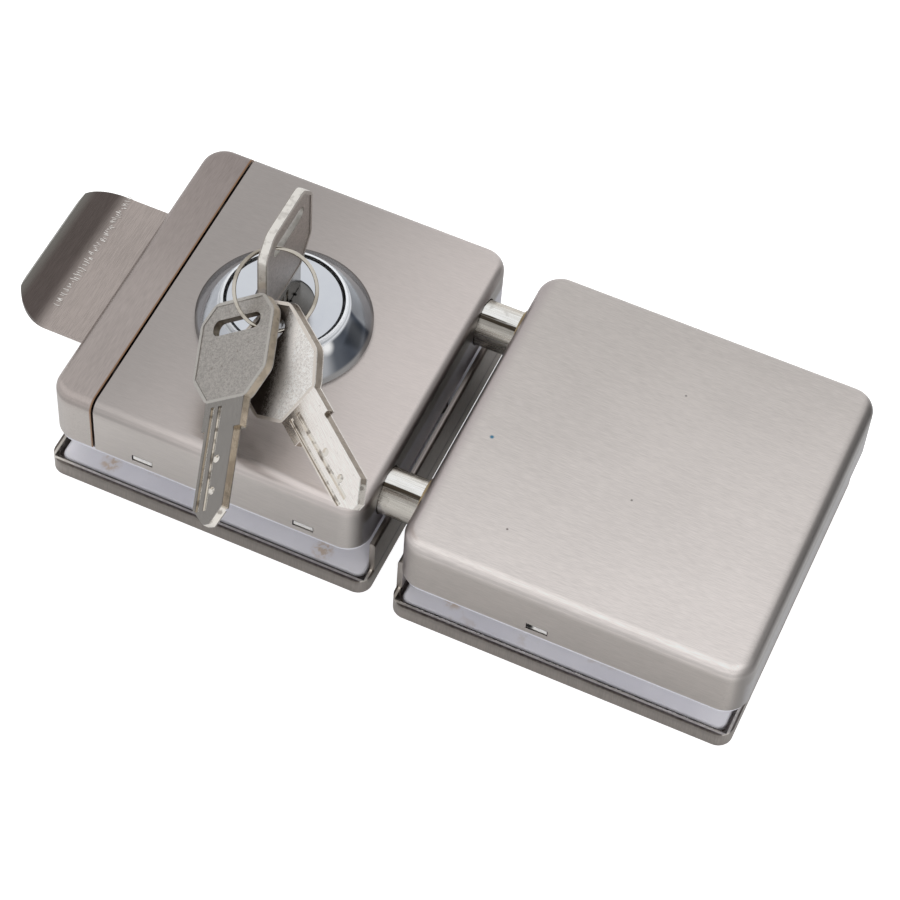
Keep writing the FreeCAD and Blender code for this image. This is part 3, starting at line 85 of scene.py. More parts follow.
KINDS = {tuple: "NodeSocketVector", float: "NodeSocketFloat", int: "NodeSocketInt"}
TO_MM = 1000.0
HALF_TURN = 180.0
NOISE_SPAN = (0.3, 0.7)
SMEAR_SPAN = (0.35, 0.75)
SPOT_CORE = 0.3


class Body(Enum):
    """The bodies that added pieces ride on."""

    SLIDE = "slide"
    STRIKE = "strike"


class Grain(Enum):
    """The way in which a surface is brushed, as the stretch of its noise along X, Y and Z."""

    ALONG_X = (380.0, 7400.0, 7400.0)
    ALONG_Y = (7400.0, 320.0, 7400.0)
    UPRIGHT = (5200.0, 5200.0, 260.0)
    ROUND = (1500.0, 1500.0, 1500.0)


@dataclass(frozen=True)
class KeyPose:
    """Where a key lies: its bow's top middle in metres, and turns about Z, Y and X in degrees."""

    place: Triple
    turns: Triple

    def matrix(self) -> Matrix:
        """Return the key's place in the lock's frame.

        Returns:
            The place, with its turn.
        """
        yaw, pitch, roll = (math.radians(turn) for turn in self.turns)
        spin = Matrix.Rotation(yaw, 4, "Z") @ Matrix.Rotation(pitch, 4, "Y") @ Matrix.Rotation(roll, 4, "X")
        return Matrix.Translation(self.place) @ spin


FRONT_KEY = KeyPose((-0.004097, -0.014724, 0.054743), (3.98, -40.37, 21.08))
BACK_KEY = KeyPose((0.000109, -0.017258, 0.051036), (48.15, -51.16, 3.23))
INSERTED_KEY = KeyPose((0.0012, 0.0, 0.07130), (90.0, 0.0, 90.0))


class Recipe:
    """A node tree under construction, with short calls for its nodes and links."""

    def __init__(self, tree: Tree) -> None:
        """Start on the tree that takes the nodes."""
        self.tree = tree

    def take(self, inputs: dict[str, object]) -> dict[str, Socket]:
        """Give a group its inputs.

        Args:
            inputs: each input's first value, a number or a vector.

        Returns:
            The sockets that bring them into the group.
        """
        for label, value in inputs.items():
            made = self.tree.interface.new_socket(name=label, in_out="INPUT", socket_type=KINDS[type(value)])
            made.default_value = value
        return {socket.name: socket for socket in self.node("NodeGroupInput").outputs}

    def node(self, kind: str, feeds: dict[int | str, object] | None = None, **settings: object) -> Node:
        """Add a node.

        Args:
            kind: the node's type.
            feeds: the socket or plain value for each input that isn't left as it is.
            settings: attributes to set on it.

        Returns:
            The node.
        """
        made = self.tree.nodes.new(kind)
        for name, setting in settings.items():
            setattr(made, name, setting)
        for place, source in (feeds or {}).items():
            self.feed(made.inputs[place], source)
        return made

    def feed(self, target: Socket, source: object) -> None:
        """Link a socket to a target, or set the target's plain value.

        Args:
            target: the input socket.
            source: a socket or a plain value.
        """
        if isinstance(source, Socket):
            self.tree.links.new(source, target)
        else:
            target.default_value = source

    def maths(self, operation: str, first: object, second: object = 0.0, clamp: bool = False) -> Socket:
        """Work out a sum of two values.

        Args:
            operation: Blender's name of the sum.
            first: a socket or number.
            second: a socket or number.
            clamp: whether the result stays between 0 and 1.

        Returns:
            The result's socket.
        """
        feeds = {0: first, 1: second}
        return self.node("ShaderNodeMath", feeds, operation=operation, use_clamp=clamp).outputs[0]

    def times(self, first: object, second: object) -> Socket:
        """Multiply two values."""
        return self.maths("MULTIPLY", first, second)

    def away(self, value: object, middle: object) -> Socket:
        """Return how far a value is from a middle, on either side."""
        return self.maths("ABSOLUTE", self.maths("SUBTRACT", value, middle))

    def mixture(self, *shares: tuple[Socket, object]) -> Socket:
        """Add up values, each times its share.

        Args:
            shares: each value with its share.

        Returns:
            The sum's socket.
        """
        total = self.times(*shares[0])
        for value, share in shares[1:]:
            total = self.maths("ADD", total, self.times(value, share))
        return total

    def vector(self, operation: str, first: object, second: object = (0.0, 0.0, 0.0)) -> Node:
        """Add a vector sum of one or two vectors, and return its node."""
        return self.node("ShaderNodeVectorMath", {0: first, 1: second}, operation=operation)

    def scaled(self, vector: Socket, stretch: object) -> Socket:
        """Multiply a vector by another, part by part."""
        return self.vector("MULTIPLY", vector, stretch).outputs[0]

    def lit(self, colour: object, share: object) -> Socket:
        """Make a colour lighter or darker by a factor."""
        return self.node("ShaderNodeVectorMath", {0: colour, "Scale": share}, operation="SCALE").outputs[0]

    def near(self, vector: Socket, spot: Triple, reach: float) -> Socket:
        """Return a soft mask round a spot, 1 at the spot and 0 beyond its reach."""
        distance = self.vector("DISTANCE", vector, spot).outputs["Value"]
        return self.ramp(distance, reach, reach * SPOT_CORE)

    def noise(self, vector: Socket, scale: object, detail: float = 3.0) -> Socket:
        """Add a noise over a vector and return its value."""
        feeds = {"Vector": vector, "Scale": scale, "Detail": detail}
        return self.node("ShaderNodeTexNoise", feeds).outputs["Fac"]

    def ramp(self, value: object, start: object, finish: object, low: object = 0.0, high: object = 1.0,
             even: bool = False) -> Socket:
        """Map a value from one span to another, and hold it at the span's ends.

        Args:
            value: the value.
            start: the value that gives low.
            finish: the value that gives high.
            low: the result at start.
            high: the result at finish.
            even: whether the way between is straight, and not eased at its ends.

        Returns:
            The result's socket.
        """
        feeds = {"Value": value, "From Min": start, "From Max": finish, "To Min": low, "To Max": high}
        way = "LINEAR" if even else "SMOOTHSTEP"
        return self.node("ShaderNodeMapRange", feeds, interpolation_type=way).outputs["Result"]

    def blend(self, share: object, first: object, second: object) -> Socket:
        """Mix two colours, each a socket or a plain colour, by a share.

        Args:
            share: how far the mix goes to the second colour.
            first: a socket or plain colour.
            second: a socket or plain colour.

        Returns:
            The mix's socket.
        """
        colours = ((*tint, 1.0) if isinstance(tint, tuple) else tint for tint in (first, second))
        feeds = dict(zip((0, 6, 7), (share, *colours)))
        return self.node("ShaderNodeMix", feeds, data_type="RGBA").outputs[2]

    def wheel(self, turn: Socket, stops: Stops) -> Socket:
        """Return the colour that lies at an angle.

        Args:
            turn: the angle in radians, from -pi to pi.
            stops: degrees from -180 to 180, each with its colour.

        Returns:
            The colour's socket.
        """
        made = self.node("ShaderNodeValToRGB", {0: self.ramp(turn, -math.pi, math.pi, even=True)})
        made.color_ramp.interpolation = "EASE"
        points = made.color_ramp.elements
        points[1].position = 1.0
        points = [points[0], *(points.new(0.5) for _ in stops[2:]), points[-1]]
        for point, (degrees, colour) in zip(sorted(points, key=lambda one: one.position), stops):
            point.position = (degrees + HALF_TURN) / (2 * HALF_TURN)
            point.color = (*colour, 1.0)
        return made.outputs["Color"]

    def parts(self, vector: Socket) -> list[Socket]:
        """Return the X, Y and Z of a vector."""
        return list(self.node("ShaderNodeSeparateXYZ", {0: vector}).outputs)


class Shared:
    """The shader groups that several finishes use, each built once."""

    origin = (0.0, 0.0, 0.0)
    bundle_scale = 0.16
    blotch_edge = 0.12
    coarse_scale = 0.4
    grain_shares = (0.6, 0.4)
    grain_middle = (0.35, 0.65)

    @classmethod
    def start(cls, name: str, inputs: dict[str, object],
              outputs: tuple[str, ...] = ("Mask",)) -> tuple[Recipe, dict[str, Socket]]:
        """Start a group.

        Args:
            name: the group's name.
            inputs: each input's first value, a number or a vector.
            outputs: the names of the outputs, which are all numbers.

        Returns:
            The recipe and the sockets of the inputs.
        """
        tree = bpy.data.node_groups.new(name, "ShaderNodeTree")
        recipe = Recipe(tree)
        given = recipe.take(inputs)
        for label in outputs:
            tree.interface.new_socket(name=label, in_out="OUTPUT", socket_type="NodeSocketFloat")
        return recipe, given

    @classmethod
    @cache
    def brushing(cls) -> Tree:
        """Return the group of brushed streaks: fine lines in soft bundles.

        Returns:
            The group's tree.
        """
        inputs = {"Place": cls.origin, "Stretch": (1.0, 1.0, 1.0)}
        recipe, given = cls.start("brushing", inputs, ("Streak", "Bundle"))
        stretched = recipe.scaled(given["Place"], given["Stretch"])
        lines = recipe.ramp(recipe.noise(stretched, 1.0, 2.0), *NOISE_SPAN)
        bundles = recipe.ramp(recipe.noise(stretched, cls.bundle_scale), *NOISE_SPAN)
        recipe.node("NodeGroupOutput", {"Streak": lines, "Bundle": bundles})
        return recipe.tree

    @classmethod
    @cache
    def band(cls) -> Tree:
        """Return the group that marks a soft band where a value is near a middle.

        Returns:
            The group's tree.
        """
        recipe, given = cls.start("band", {"Value": 0.0, "Middle": 0.0, "Width": 0.001})
        away = recipe.away(given["Value"], given["Middle"])
        recipe.node("NodeGroupOutput", {"Mask": recipe.ramp(away, given["Width"], 0.0)})
        return recipe.tree

    @classmethod
    @cache
    def blotches(cls) -> Tree:
        """Return the group of stains: patches of noise over a threshold.

        Returns:
            The group's tree.
        """
        recipe, given = cls.start("blotches", {"Place": cls.origin, "Scale": 80.0, "Reach": 0.6})
        cloud = recipe.noise(given["Place"], given["Scale"], 5.0)
        over = recipe.maths("ADD", given["Reach"], cls.blotch_edge)
        recipe.node("NodeGroupOutput", {"Mask": recipe.ramp(cloud, given["Reach"], over)})
        return recipe.tree

    @classmethod
    @cache
    def pitting(cls) -> Tree:
        """Return the group of a fine cast or blasted grain.

        Returns:
            The group's tree.
        """
        recipe, given = cls.start("pitting", {"Place": cls.origin, "Scale": 3000.0})
        fine = recipe.noise(given["Place"], given["Scale"], 2.0)
        coarse = recipe.noise(given["Place"], recipe.times(given["Scale"], cls.coarse_scale), 2.0)
        both = recipe.mixture(*zip((fine, coarse), cls.grain_shares))
        recipe.node("NodeGroupOutput", {"Mask": recipe.ramp(both, *cls.grain_middle)})
        return recipe.tree


class Finish(Recipe):
    """A material under construction, with its Principled shader."""

    def __init__(self, name: str, metallic: float, roughness: float) -> None:
        """Start a finish.

        Args:
            name: the material's name.
            metallic: 1 for bare metal, 0 for the rest.
            roughness: the plain roughness.
        """
        self.material = bpy.data.materials.new(name)
        self.material.use_nodes = True
        super().__init__(self.material.node_tree)
        self.shader = self.tree.nodes["Principled BSDF"]
        self.paint("Metallic", metallic)
        self.paint("Roughness", roughness)
        given = self.node("ShaderNodeTexCoord")
        self.place = given.outputs["Object"]
        self.facing = given.outputs["Normal"]
        self.x, self.y, self.z = self.parts(self.place)

    def group(self, tree: Tree, output: str, **values: object) -> Socket:
        """Place a shared group and return one of its outputs."""
        return self.node("ShaderNodeGroup", values, node_tree=tree).outputs[output]

    def band(self, value: Socket, middle: float, width: float) -> Socket:
        """Return a soft band where a value is near a middle."""
        return self.group(Shared.band(), "Mask", Value=value, Middle=middle, Width=width)

    def cloud(self, scale: float) -> Socket:
        """Return a cloudy noise over the piece."""
        return self.noise(self.place, scale, 4.0)

    def paint(self, socket: str, source: object) -> None:
        """Feed one of the shader's sockets."""
        self.feed(self.shader.inputs[socket], source)

    def to_world(self, normal: Socket) -> Socket:
        """Turn a normal from the piece's own frame to the world's.

        Args:
            normal: the normal in the piece's frame.

        Returns:
            The normal in the world's frame.
        """
        made = self.node("ShaderNodeVectorTransform", {0: normal}, vector_type="NORMAL",
                         convert_from="OBJECT", convert_to="WORLD")
        return made.outputs[0]

    def bump(self, height: Socket, strength: float, depth: float, base: Socket | None = None) -> None:
        """Raise the surface by a height value.

        Args:
            height: the height, from 0 to 1.
            strength: how strongly it shows.
            depth: the height of 1 in metres.
            base: the normal that the relief starts from, if not the surface's own.
        """
        feeds = {"Strength": strength, "Distance": depth, "Height": height}
        if base:
            feeds["Normal"] = base
        self.paint("Normal", self.node("ShaderNodeBump", feeds).outputs[0])


@dataclass(frozen=True)
class Wall:
    """The walls of a cover: their own tone, a painted shading set apart from the top's, the skirt of the right wall and
    two painted lines along the front's top edge, a highlight above a shade.

    Each span holds where a mask starts and where it is full. A line has its height, its width and its gain.
    """

    tone: Colour
    top: Span = (0.0275, 0.0318)
    skirt: Colour = (0.50, 0.50, 0.55)
    skirt_rise: Span = (0.0262, 0.0238)
    skirt_facing: Span = (0.80, 0.97)
    front_facing: Span = (-0.15, -0.35)
    # A painted highlight line at the front's top edge, and a painted shade line just below it.
    lines: tuple[Triple, ...] = ((0.0320, 0.0007, 1.22), (0.0304, 0.0009, 0.80))

    def under(self, finish: Finish, tone: Socket) -> Socket:
        """Give the walls their painted shading tone below the top's."""
        return finish.blend(finish.ramp(finish.z, *self.top), self.tone, tone)

    def trimmed(self, finish: Finish, tone: Socket) -> Socket:
        """Lay the skirt and the painted highlight and shade lines over the brushed tone.

        Args:
            finish: the material under construction.
            tone: the tone so far.

        Returns:
            The tone with both.
        """
        face_x, face_y, _ = finish.parts(finish.facing)
        side = finish.times(finish.ramp(finish.z, *self.skirt_rise), finish.ramp(face_x, *self.skirt_facing))
        tone = finish.blend(side, tone, self.skirt)
        front = finish.ramp(face_y, *self.front_facing)
        # Painted highlight and shade lines along the front's top edge.
        for height, width, gain in self.lines:
            line = finish.times(finish.band(finish.z, height, width), front)
            tone = finish.lit(tone, finish.ramp(line, 0.0, 1.0, 1.0, gain))
        return tone


@dataclass(frozen=True)
class Rim:
    """A tray's folded rim: the outline that it runs round, a bright line on its edge that is partly wear and partly
    painted highlight, a painted shade line where it turns in to the pad, and a darker band at the top of the outer
    wall.

    Heights are over the tray's back. The other spans say how far out a place lies from the outline.
    """

    left: float
    right: float
    front: float
    rear: float
    low: Span = (0.0042, 0.0045)
    high: Span = (0.0054, 0.0050)
    # Painted shade where the rim turns in to the pad; the bright line is partly wear and partly painted highlight.
    gap_shade: Colour = (0.03, 0.026, 0.022)
    gap_shade_end: Span = (-0.0012, -0.0010)
    bright: Colour = (0.92, 0.88, 0.82)
    bright_end: Span = (-0.0006, -0.0004)
    outer: Colour = (0.14, 0.12, 0.105)
    # The top of the outer wall is darker.
    wall_top_dark: Colour = (0.15, 0.128, 0.112)
    wall_top_rise: Span = (0.0022, 0.0044)
    wall_top_out: Span = (-0.0006, -0.0002)
    wall_top_share: float = 0.45
    wear_scale: float = 900.0
    wear: tuple[float, ...] = (0.35, 0.7, 0.65, 1.0)

    def laid(self, finish: Finish, tone: Socket) -> Socket:
        """Lay a bright line on the rim, partly wear and partly painted highlight, a painted shade line where the rim
        turns in to the pad, and a darker band at the top of the outer wall.

        Args:
            finish: the material under construction.
            tone: the tone so far.

        Returns:
            The tone with the rim's lines.
        """
        ways = ((finish.x, self.left, self.right), (finish.y, self.front, self.rear))
        wide, deep = (finish.maths("SUBTRACT", finish.away(way, (start + end) / 2), (end - start) / 2)
                      for way, start, end in ways)
        out = finish.maths("MAXIMUM", wide, deep)
        level = finish.times(finish.ramp(finish.z, *self.low), finish.ramp(finish.z, *self.high))
        wear = finish.ramp(finish.noise(finish.place, self.wear_scale), *self.wear)
        # Darker towards the top of the outer wall.
        wall_top_mask = finish.times(finish.ramp(finish.z, *self.wall_top_rise),
                               finish.ramp(out, *self.wall_top_out, 0.0, self.wall_top_share))
        tone = finish.blend(finish.times(wall_top_mask, wear), tone, self.wall_top_dark)
        # Painted shade at the rim's inner edge, then the bright line, partly wear and partly painted highlight.
        line = finish.blend(finish.ramp(out, *self.gap_shade_end), self.gap_shade, self.bright)
        line = finish.blend(finish.ramp(out, *self.bright_end), line, self.outer)
        return finish.blend(finish.times(level, wear), tone, line)


@dataclass(frozen=True)
class Brushed:
    """A brushed metal: two tones and the way from one to the other, which on the covers, the strip and the pull is a
    painted light and shade gradient, its grain and gloss, and what lies on it.

    Each of the spots and nicks has a place, a reach and a colour, an end shade (painted shade at an end of the top) two
    places along X and a colour, and an edge a place along X, a width and a colour. The walls that face right get
    painted shade: darkened by right, and at the back by a further factor.
    """

    name: str
    dark: Colour
    light: Colour
    grain: Grain = Grain.ALONG_X
    slope: Triple = (1.0, 0.0, 0.0)
    span: Span = (-1.0, 1.0)
    roughness: float = 0.36
    contrast: float = 0.035
    spots_and_nicks: tuple[tuple[Triple, float, Colour], ...] = ()
    wall: Wall | None = None
    # Painted shade on the walls that face right, and more at the back.
    right: float = 1.0
    far_wall_shade: float = 1.0
    edge: tuple[float, float, Colour] | None = None
    # Painted shade at the ends of the top.
    end_shades: tuple[tuple[float, float, Colour], ...] = ()
    rim: Rim | None = None
    shares: Triple = (0.62, 0.16, 0.22)
    cloud_scale: float = 38.0
    far_shade_way: Span = (-0.034, -0.005)
    right_shade_facing: Span = (0.30, 0.85)
    end_shade_share: float = 0.75
    swing: float = 0.05
    groove: Span = (0.12, 0.000006)

    def build(self) -> Material:
        """Build the material.

        Returns:
            The material.
        """
        finish = Finish(self.name, 1.0, self.roughness)
        brushed = {"Place": finish.place, "Stretch": self.grain.value}
        streak, bundle = (finish.group(Shared.brushing(), name, **brushed) for name in ("Streak", "Bundle"))
        cloud = finish.ramp(finish.cloud(self.cloud_scale), *NOISE_SPAN)
        mixed = finish.mixture(*zip((streak, bundle, cloud), self.shares))
        finish.paint("Base Color", self.marked(finish, self.toned(finish, mixed)))
        finish.paint("Roughness", finish.ramp(mixed, 0.0, 1.0, self.roughness - self.swing,
                                              self.roughness + self.swing))
        finish.bump(streak, *self.groove)
        return finish.material

    def toned(self, finish: Finish, mixed: Socket) -> Socket:
        """Return the brushed tone of the top and the walls, with its painted light and shade gradient and the painted
        shade on the walls that face right.

        Args:
            finish: the material under construction.
            mixed: the streaks, bundles and clouds in one value.

        Returns:
            The tone.
        """
        way = finish.vector("DOT_PRODUCT", finish.place, self.slope).outputs["Value"]
        # On the covers, the strip and the pull this is a painted light and shade gradient.
        tone = finish.blend(finish.ramp(way, *self.span), self.dark, self.light)
        if self.wall:
            tone = self.wall.under(finish, tone)
        tone = finish.lit(tone, finish.ramp(mixed, 0.0, 1.0, 1.0 - self.contrast, 1.0 + self.contrast))
        # Painted shade on the walls that face right, more at the back.
        far_wall_shade = finish.ramp(finish.y, *self.far_shade_way, self.right, self.right * self.far_wall_shade)
        face_x = finish.parts(finish.facing)[0]
        tone = finish.lit(tone, finish.ramp(face_x, *self.right_shade_facing, 1.0, far_wall_shade))
        return self.wall.trimmed(finish, tone) if self.wall else tone

    def marked(self, finish: Finish, tone: Socket) -> Socket:
        """Lay the painted end shades, the spots and nicks, the rim's lines and the edge over a tone.

        Args:
            finish: the material under construction.
            tone: the tone so far.

        Returns:
            The tone with them.
        """
        # Painted shade at the ends of the top.
        for start, end, tint in self.end_shades:
            tone = finish.blend(finish.ramp(finish.x, end, start, 0.0, self.end_shade_share), tone, tint)
        for spot, reach, mark in self.spots_and_nicks:
            tone = finish.blend(finish.near(finish.place, spot, reach), tone, mark)
        if self.rim:
            tone = self.rim.laid(finish, tone)
        if self.edge:
            place, width, mark = self.edge
            tone = finish.blend(finish.band(finish.x, place, width), tone, mark)
        return tone


@dataclass(frozen=True)
class Polished:
    """A plated bright metal, with faint smears and black dots of painted shade for the mouths of small holes."""

    name: str
    tone: Colour
    dull: Colour
    roughness: float = 0.08
    smear: float = 0.05
    hole_shades: tuple[Triple, ...] = ()
    hole_shade_reach: float = 0.0006
    hole_shade_tone: Colour = (0.01, 0.01, 0.01)
    cloud_scale: float = 140.0
    gloss_span: Span = (0.3, 0.8)

    def build(self) -> Material:
        """Build the material.

        Returns:
            The material.
        """
        finish = Finish(self.name, 1.0, self.roughness)
        cloud = finish.cloud(self.cloud_scale)
        tone = finish.blend(finish.ramp(cloud, *SMEAR_SPAN), self.tone, self.dull)
        # Painted shade: black dots for the mouths of small holes.
        for hole_shade in self.hole_shades:
            tone = finish.blend(finish.near(finish.place, hole_shade, self.hole_shade_reach), tone, self.hole_shade_tone)
        finish.paint("Base Color", tone)
        gloss = finish.ramp(cloud, *self.gloss_span, self.roughness, self.roughness + self.smear)
        finish.paint("Roughness", gloss)
        return finish.material


@dataclass(frozen=True)
class Moulded:
    """A plain plastic or rubber with a fine texture, and stains and rust spots on it if it has any."""

    name: str
    tone: Colour
    dull: Colour
    roughness: float = 0.6
    stains: float = 0.0
    spots: tuple[Triple, ...] = ()
    stain_tone: Colour = (0.42, 0.30, 0.17)
    rust_tone: Colour = (0.50, 0.33, 0.16)
    rust_reach: float = 0.0034
    rust: tuple[float, ...] = (0.38, 0.64, 0.12, 0.62)
    rust_scale: float = 900.0
    grain_scale: float = 1800.0
    cloud_scale: float = 60.0
    stain_scale: float = 120.0
    stain_reach: float = 0.57
    relief: Span = (0.3, 0.00003)

    def build(self) -> Material:
        """Build the material.

        Returns:
            The material.
        """
        finish = Finish(self.name, 0.0, self.roughness)
        pits = finish.group(Shared.pitting(), "Mask", Place=finish.place, Scale=self.grain_scale)
        cloud = finish.cloud(self.cloud_scale)
        tone = finish.blend(finish.ramp(cloud, *NOISE_SPAN), self.tone, self.dull)
        stain = finish.group(Shared.blotches(), "Mask", Place=finish.place, Scale=self.stain_scale,
                             Reach=self.stain_reach)
        tone = finish.blend(finish.times(stain, self.stains), tone, self.stain_tone)
        rust = finish.ramp(finish.cloud(self.rust_scale), *self.rust)
        for spot in self.spots:
            near = finish.near(finish.place, spot, self.rust_reach)
            tone = finish.blend(finish.times(near, rust), tone, self.rust_tone)
        finish.paint("Base Color", tone)
        finish.bump(pits, *self.relief)
        return finish.material


def dress(node: str, material: Material) -> None:
    """Give a carried-over node one material in all its slots.

    Args:
        node: the node's name.
        material: what it gets.
    """
    for piece in bpy.data.objects:
        if piece.type == "MESH" and piece.name.split(".")[0] == node:
            for slot in piece.material_slots:
                slot.material = material
            if not piece.material_slots:
                piece.data.materials.append(material)


def placed(name: str, data: bpy.types.ID) -> bpy.types.Object:
    """Make an object and link it to the scene.

    Args:
        name: the object's name.
        data: its mesh, light or camera.

    Returns:
        The object.
    """
    made = bpy.data.objects.new(name, data)
    bpy.context.scene.collection.objects.link(made)
    return made


@dataclass
class Camera:
    """The camera at the photograph's angle."""

    lens: float = 122.286
    sensor: float = 36.0
    place: Triple = (0.192702, -0.400769, 0.598020)
    right: Triple = (0.910833, 0.409875, 0.048848)
    down: Triple = (0.358959, -0.728088, -0.583983)
    ahead: Triple = (-0.203795, 0.549446, -0.810295)

    def build(self) -> None:
        """Make the camera and set it as the scene's."""
        data = bpy.data.cameras.new("camera")
        data.lens = self.lens
        data.sensor_width = self.sensor
        data.sensor_fit = "HORIZONTAL"
        data.clip_start = 0.01
        camera = placed("camera", data)
        columns = [Vector(self.right), -Vector(self.down), -Vector(self.ahead)]
        turn = Matrix(columns).transposed().to_4x4()
        camera.matrix_world = Matrix.Translation(self.place) @ turn
        bpy.context.scene.camera = camera


@dataclass(frozen=True)
class Flag:
    """A dark card that only reflections see: its middle, the point it faces, its size and its light."""

    name: str
    place: Triple
    aim: Triple
    size: Span
    tone: float


@dataclass(frozen=True)
class Lamp:
    """A soft square lamp: its middle, its width and its power in watts."""

    name: str
    place: Triple
    size: float
    power: float


def sheet(name: str, wide: float, high: float) -> bpy.types.Object:
    """Make a flat sheet round the origin, and link it to the scene.

    Args:
        name: the sheet's name.
        wide: half its width.
        high: half its height.

    Returns:
        The sheet.
    """
    mesh = bpy.data.meshes.new(name)
    corners = [(-wide, -high, 0), (wide, -high, 0), (wide, high, 0), (-wide, high, 0)]
    mesh.from_pydata(corners, [], [(0, 1, 2, 3)])
    return placed(name, mesh)


def aimed(place: Triple, aim: Triple, axis: str) -> Matrix:
    """Return the place of something that lies at a place and points an axis at an aim."""
    ahead = (Vector(aim) - Vector(place)).normalized()
    return Matrix.Translation(place) @ ahead.to_track_quat(axis, "Y").to_matrix().to_4x4()


def bare_recipe(owner: bpy.types.ID) -> Recipe:
    """Give a material or a world an empty node tree to build on.

    Args:
        owner: the material or world.

    Returns:
        The recipe of its tree.
    """
    owner.use_nodes = True
    recipe = Recipe(owner.node_tree)
    recipe.tree.nodes.clear()
    return recipe


@dataclass
class Studio:
    """The pale floor, the soft lights, the dark flags and the white background."""

    floor_half: float = 1.5
    floor_drop: float = 0.0002
    floor_glow: float = 0.86
    floor_matt: float = 0.5
    floor_plain: float = 0.72
    sky: float = 0.8
    card_glow: float = 0.9
    card_core: float = 0.45
    lamp_aim: Triple = (0.05, 0.0, 0.02)
    flags: tuple[Flag, ...] = (
        Flag("flag_back", (0.58, 0.46, 0.26), (0.0, 0.0, 0.05), (0.50, 0.60), 0.35),
        Flag("flag_low", (0.369, 0.24, 0.004), (0.369, 0.24, 1.0), (0.463, 0.7), 0.16),
    )
    lamps: tuple[Lamp, ...] = (
        Lamp("lamp_top", (-0.10, 0.30, 0.9), 0.7, 5.0),
        Lamp("lamp_front", (0.45, -0.75, 0.55), 0.5, 3.0),
    )

    def floor(self) -> None:
        """Make the floor, pale to the camera and still catching a soft shadow."""
        floor = sheet("floor", self.floor_half, self.floor_half)
        floor.location.z = -self.floor_drop
        material = bpy.data.materials.new("floor_white")
        recipe = bare_recipe(material)
        glow = recipe.node("ShaderNodeEmission", {"Strength": self.floor_glow})
        matt, plain = (recipe.node("ShaderNodeBsdfDiffuse", {"Color": (grey, grey, grey, 1.0)}).outputs[0]
                       for grey in (self.floor_matt, self.floor_plain))
        both = recipe.node("ShaderNodeAddShader", {0: glow.outputs[0], 1: matt})
        seen = recipe.node("ShaderNodeLightPath").outputs["Is Camera Ray"]
        choice = recipe.node("ShaderNodeMixShader", {0: seen, 1: plain, 2: both.outputs[0]})
        recipe.node("ShaderNodeOutputMaterial", {0: choice.outputs[0]})
        floor.data.materials.append(material)
        floor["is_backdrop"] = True

    def world(self) -> None:
        """Light the scene evenly; the background is white to the camera and in reflections."""
        world = bpy.data.worlds.new("studio")
        bpy.context.scene.world = world
        recipe = bare_recipe(world)
        path = recipe.node("ShaderNodeLightPath").outputs
        seen = recipe.maths("ADD", path["Is Camera Ray"], path["Is Glossy Ray"], clamp=True)
        seen = recipe.maths("ADD", seen, path["Is Transmission Ray"], clamp=True)
        back = recipe.node("ShaderNodeBackground", {"Strength": recipe.ramp(seen, 0.0, 1.0, self.sky, 1.0)})
        recipe.node("ShaderNodeOutputWorld", {0: back.outputs[0]})

    def hang(self, card: Flag) -> None:
        """Hang a soft-edged flag.

        Args:
            card: the flag's place, aim, size and tone.
        """
        wide, high = card.size[0] / 2, card.size[1] / 2
        flag = sheet(card.name, wide, high)
        flag.matrix_world = aimed(card.place, card.aim, "Z")
        material = bpy.data.materials.new(card.name + "_card")
        recipe = bare_recipe(material)
        across, along, _ = recipe.parts(recipe.node("ShaderNodeTexCoord").outputs["Object"])
        side, end = (recipe.ramp(recipe.maths("ABSOLUTE", way), half, half * self.card_core)
                     for way, half in ((across, wide), (along, high)))
        light = recipe.ramp(recipe.times(side, end), 0.0, 1.0, self.card_glow, card.tone)
        glow = recipe.node("ShaderNodeEmission", {"Strength": light})
        recipe.node("ShaderNodeOutputMaterial", {0: glow.outputs[0]})
        flag.data.materials.append(material)
        for ray in ("camera", "diffuse", "shadow", "transmission"):
            setattr(flag, "visible_" + ray, False)
        flag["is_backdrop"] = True

    def light(self, lamp: Lamp) -> None:
        """Hang a lamp that faces the lock and doesn't show in reflections.

        Args:
            lamp: the lamp's place, size and power.
        """
        data = bpy.data.lights.new(lamp.name, "AREA")
        data.size = lamp.size
        data.energy = lamp.power
        made = placed(lamp.name, data)
        made.matrix_world = aimed(lamp.place, self.lamp_aim, "-Z")
        made.visible_glossy = False

    def build(self) -> None:
        """Build the studio."""
        bpy.context.scene.view_settings.view_transform = "Standard"
        self.floor()
        self.world()
        for card in self.flags:
            self.hang(card)
        for lamp in self.lamps:
            self.light(lamp)


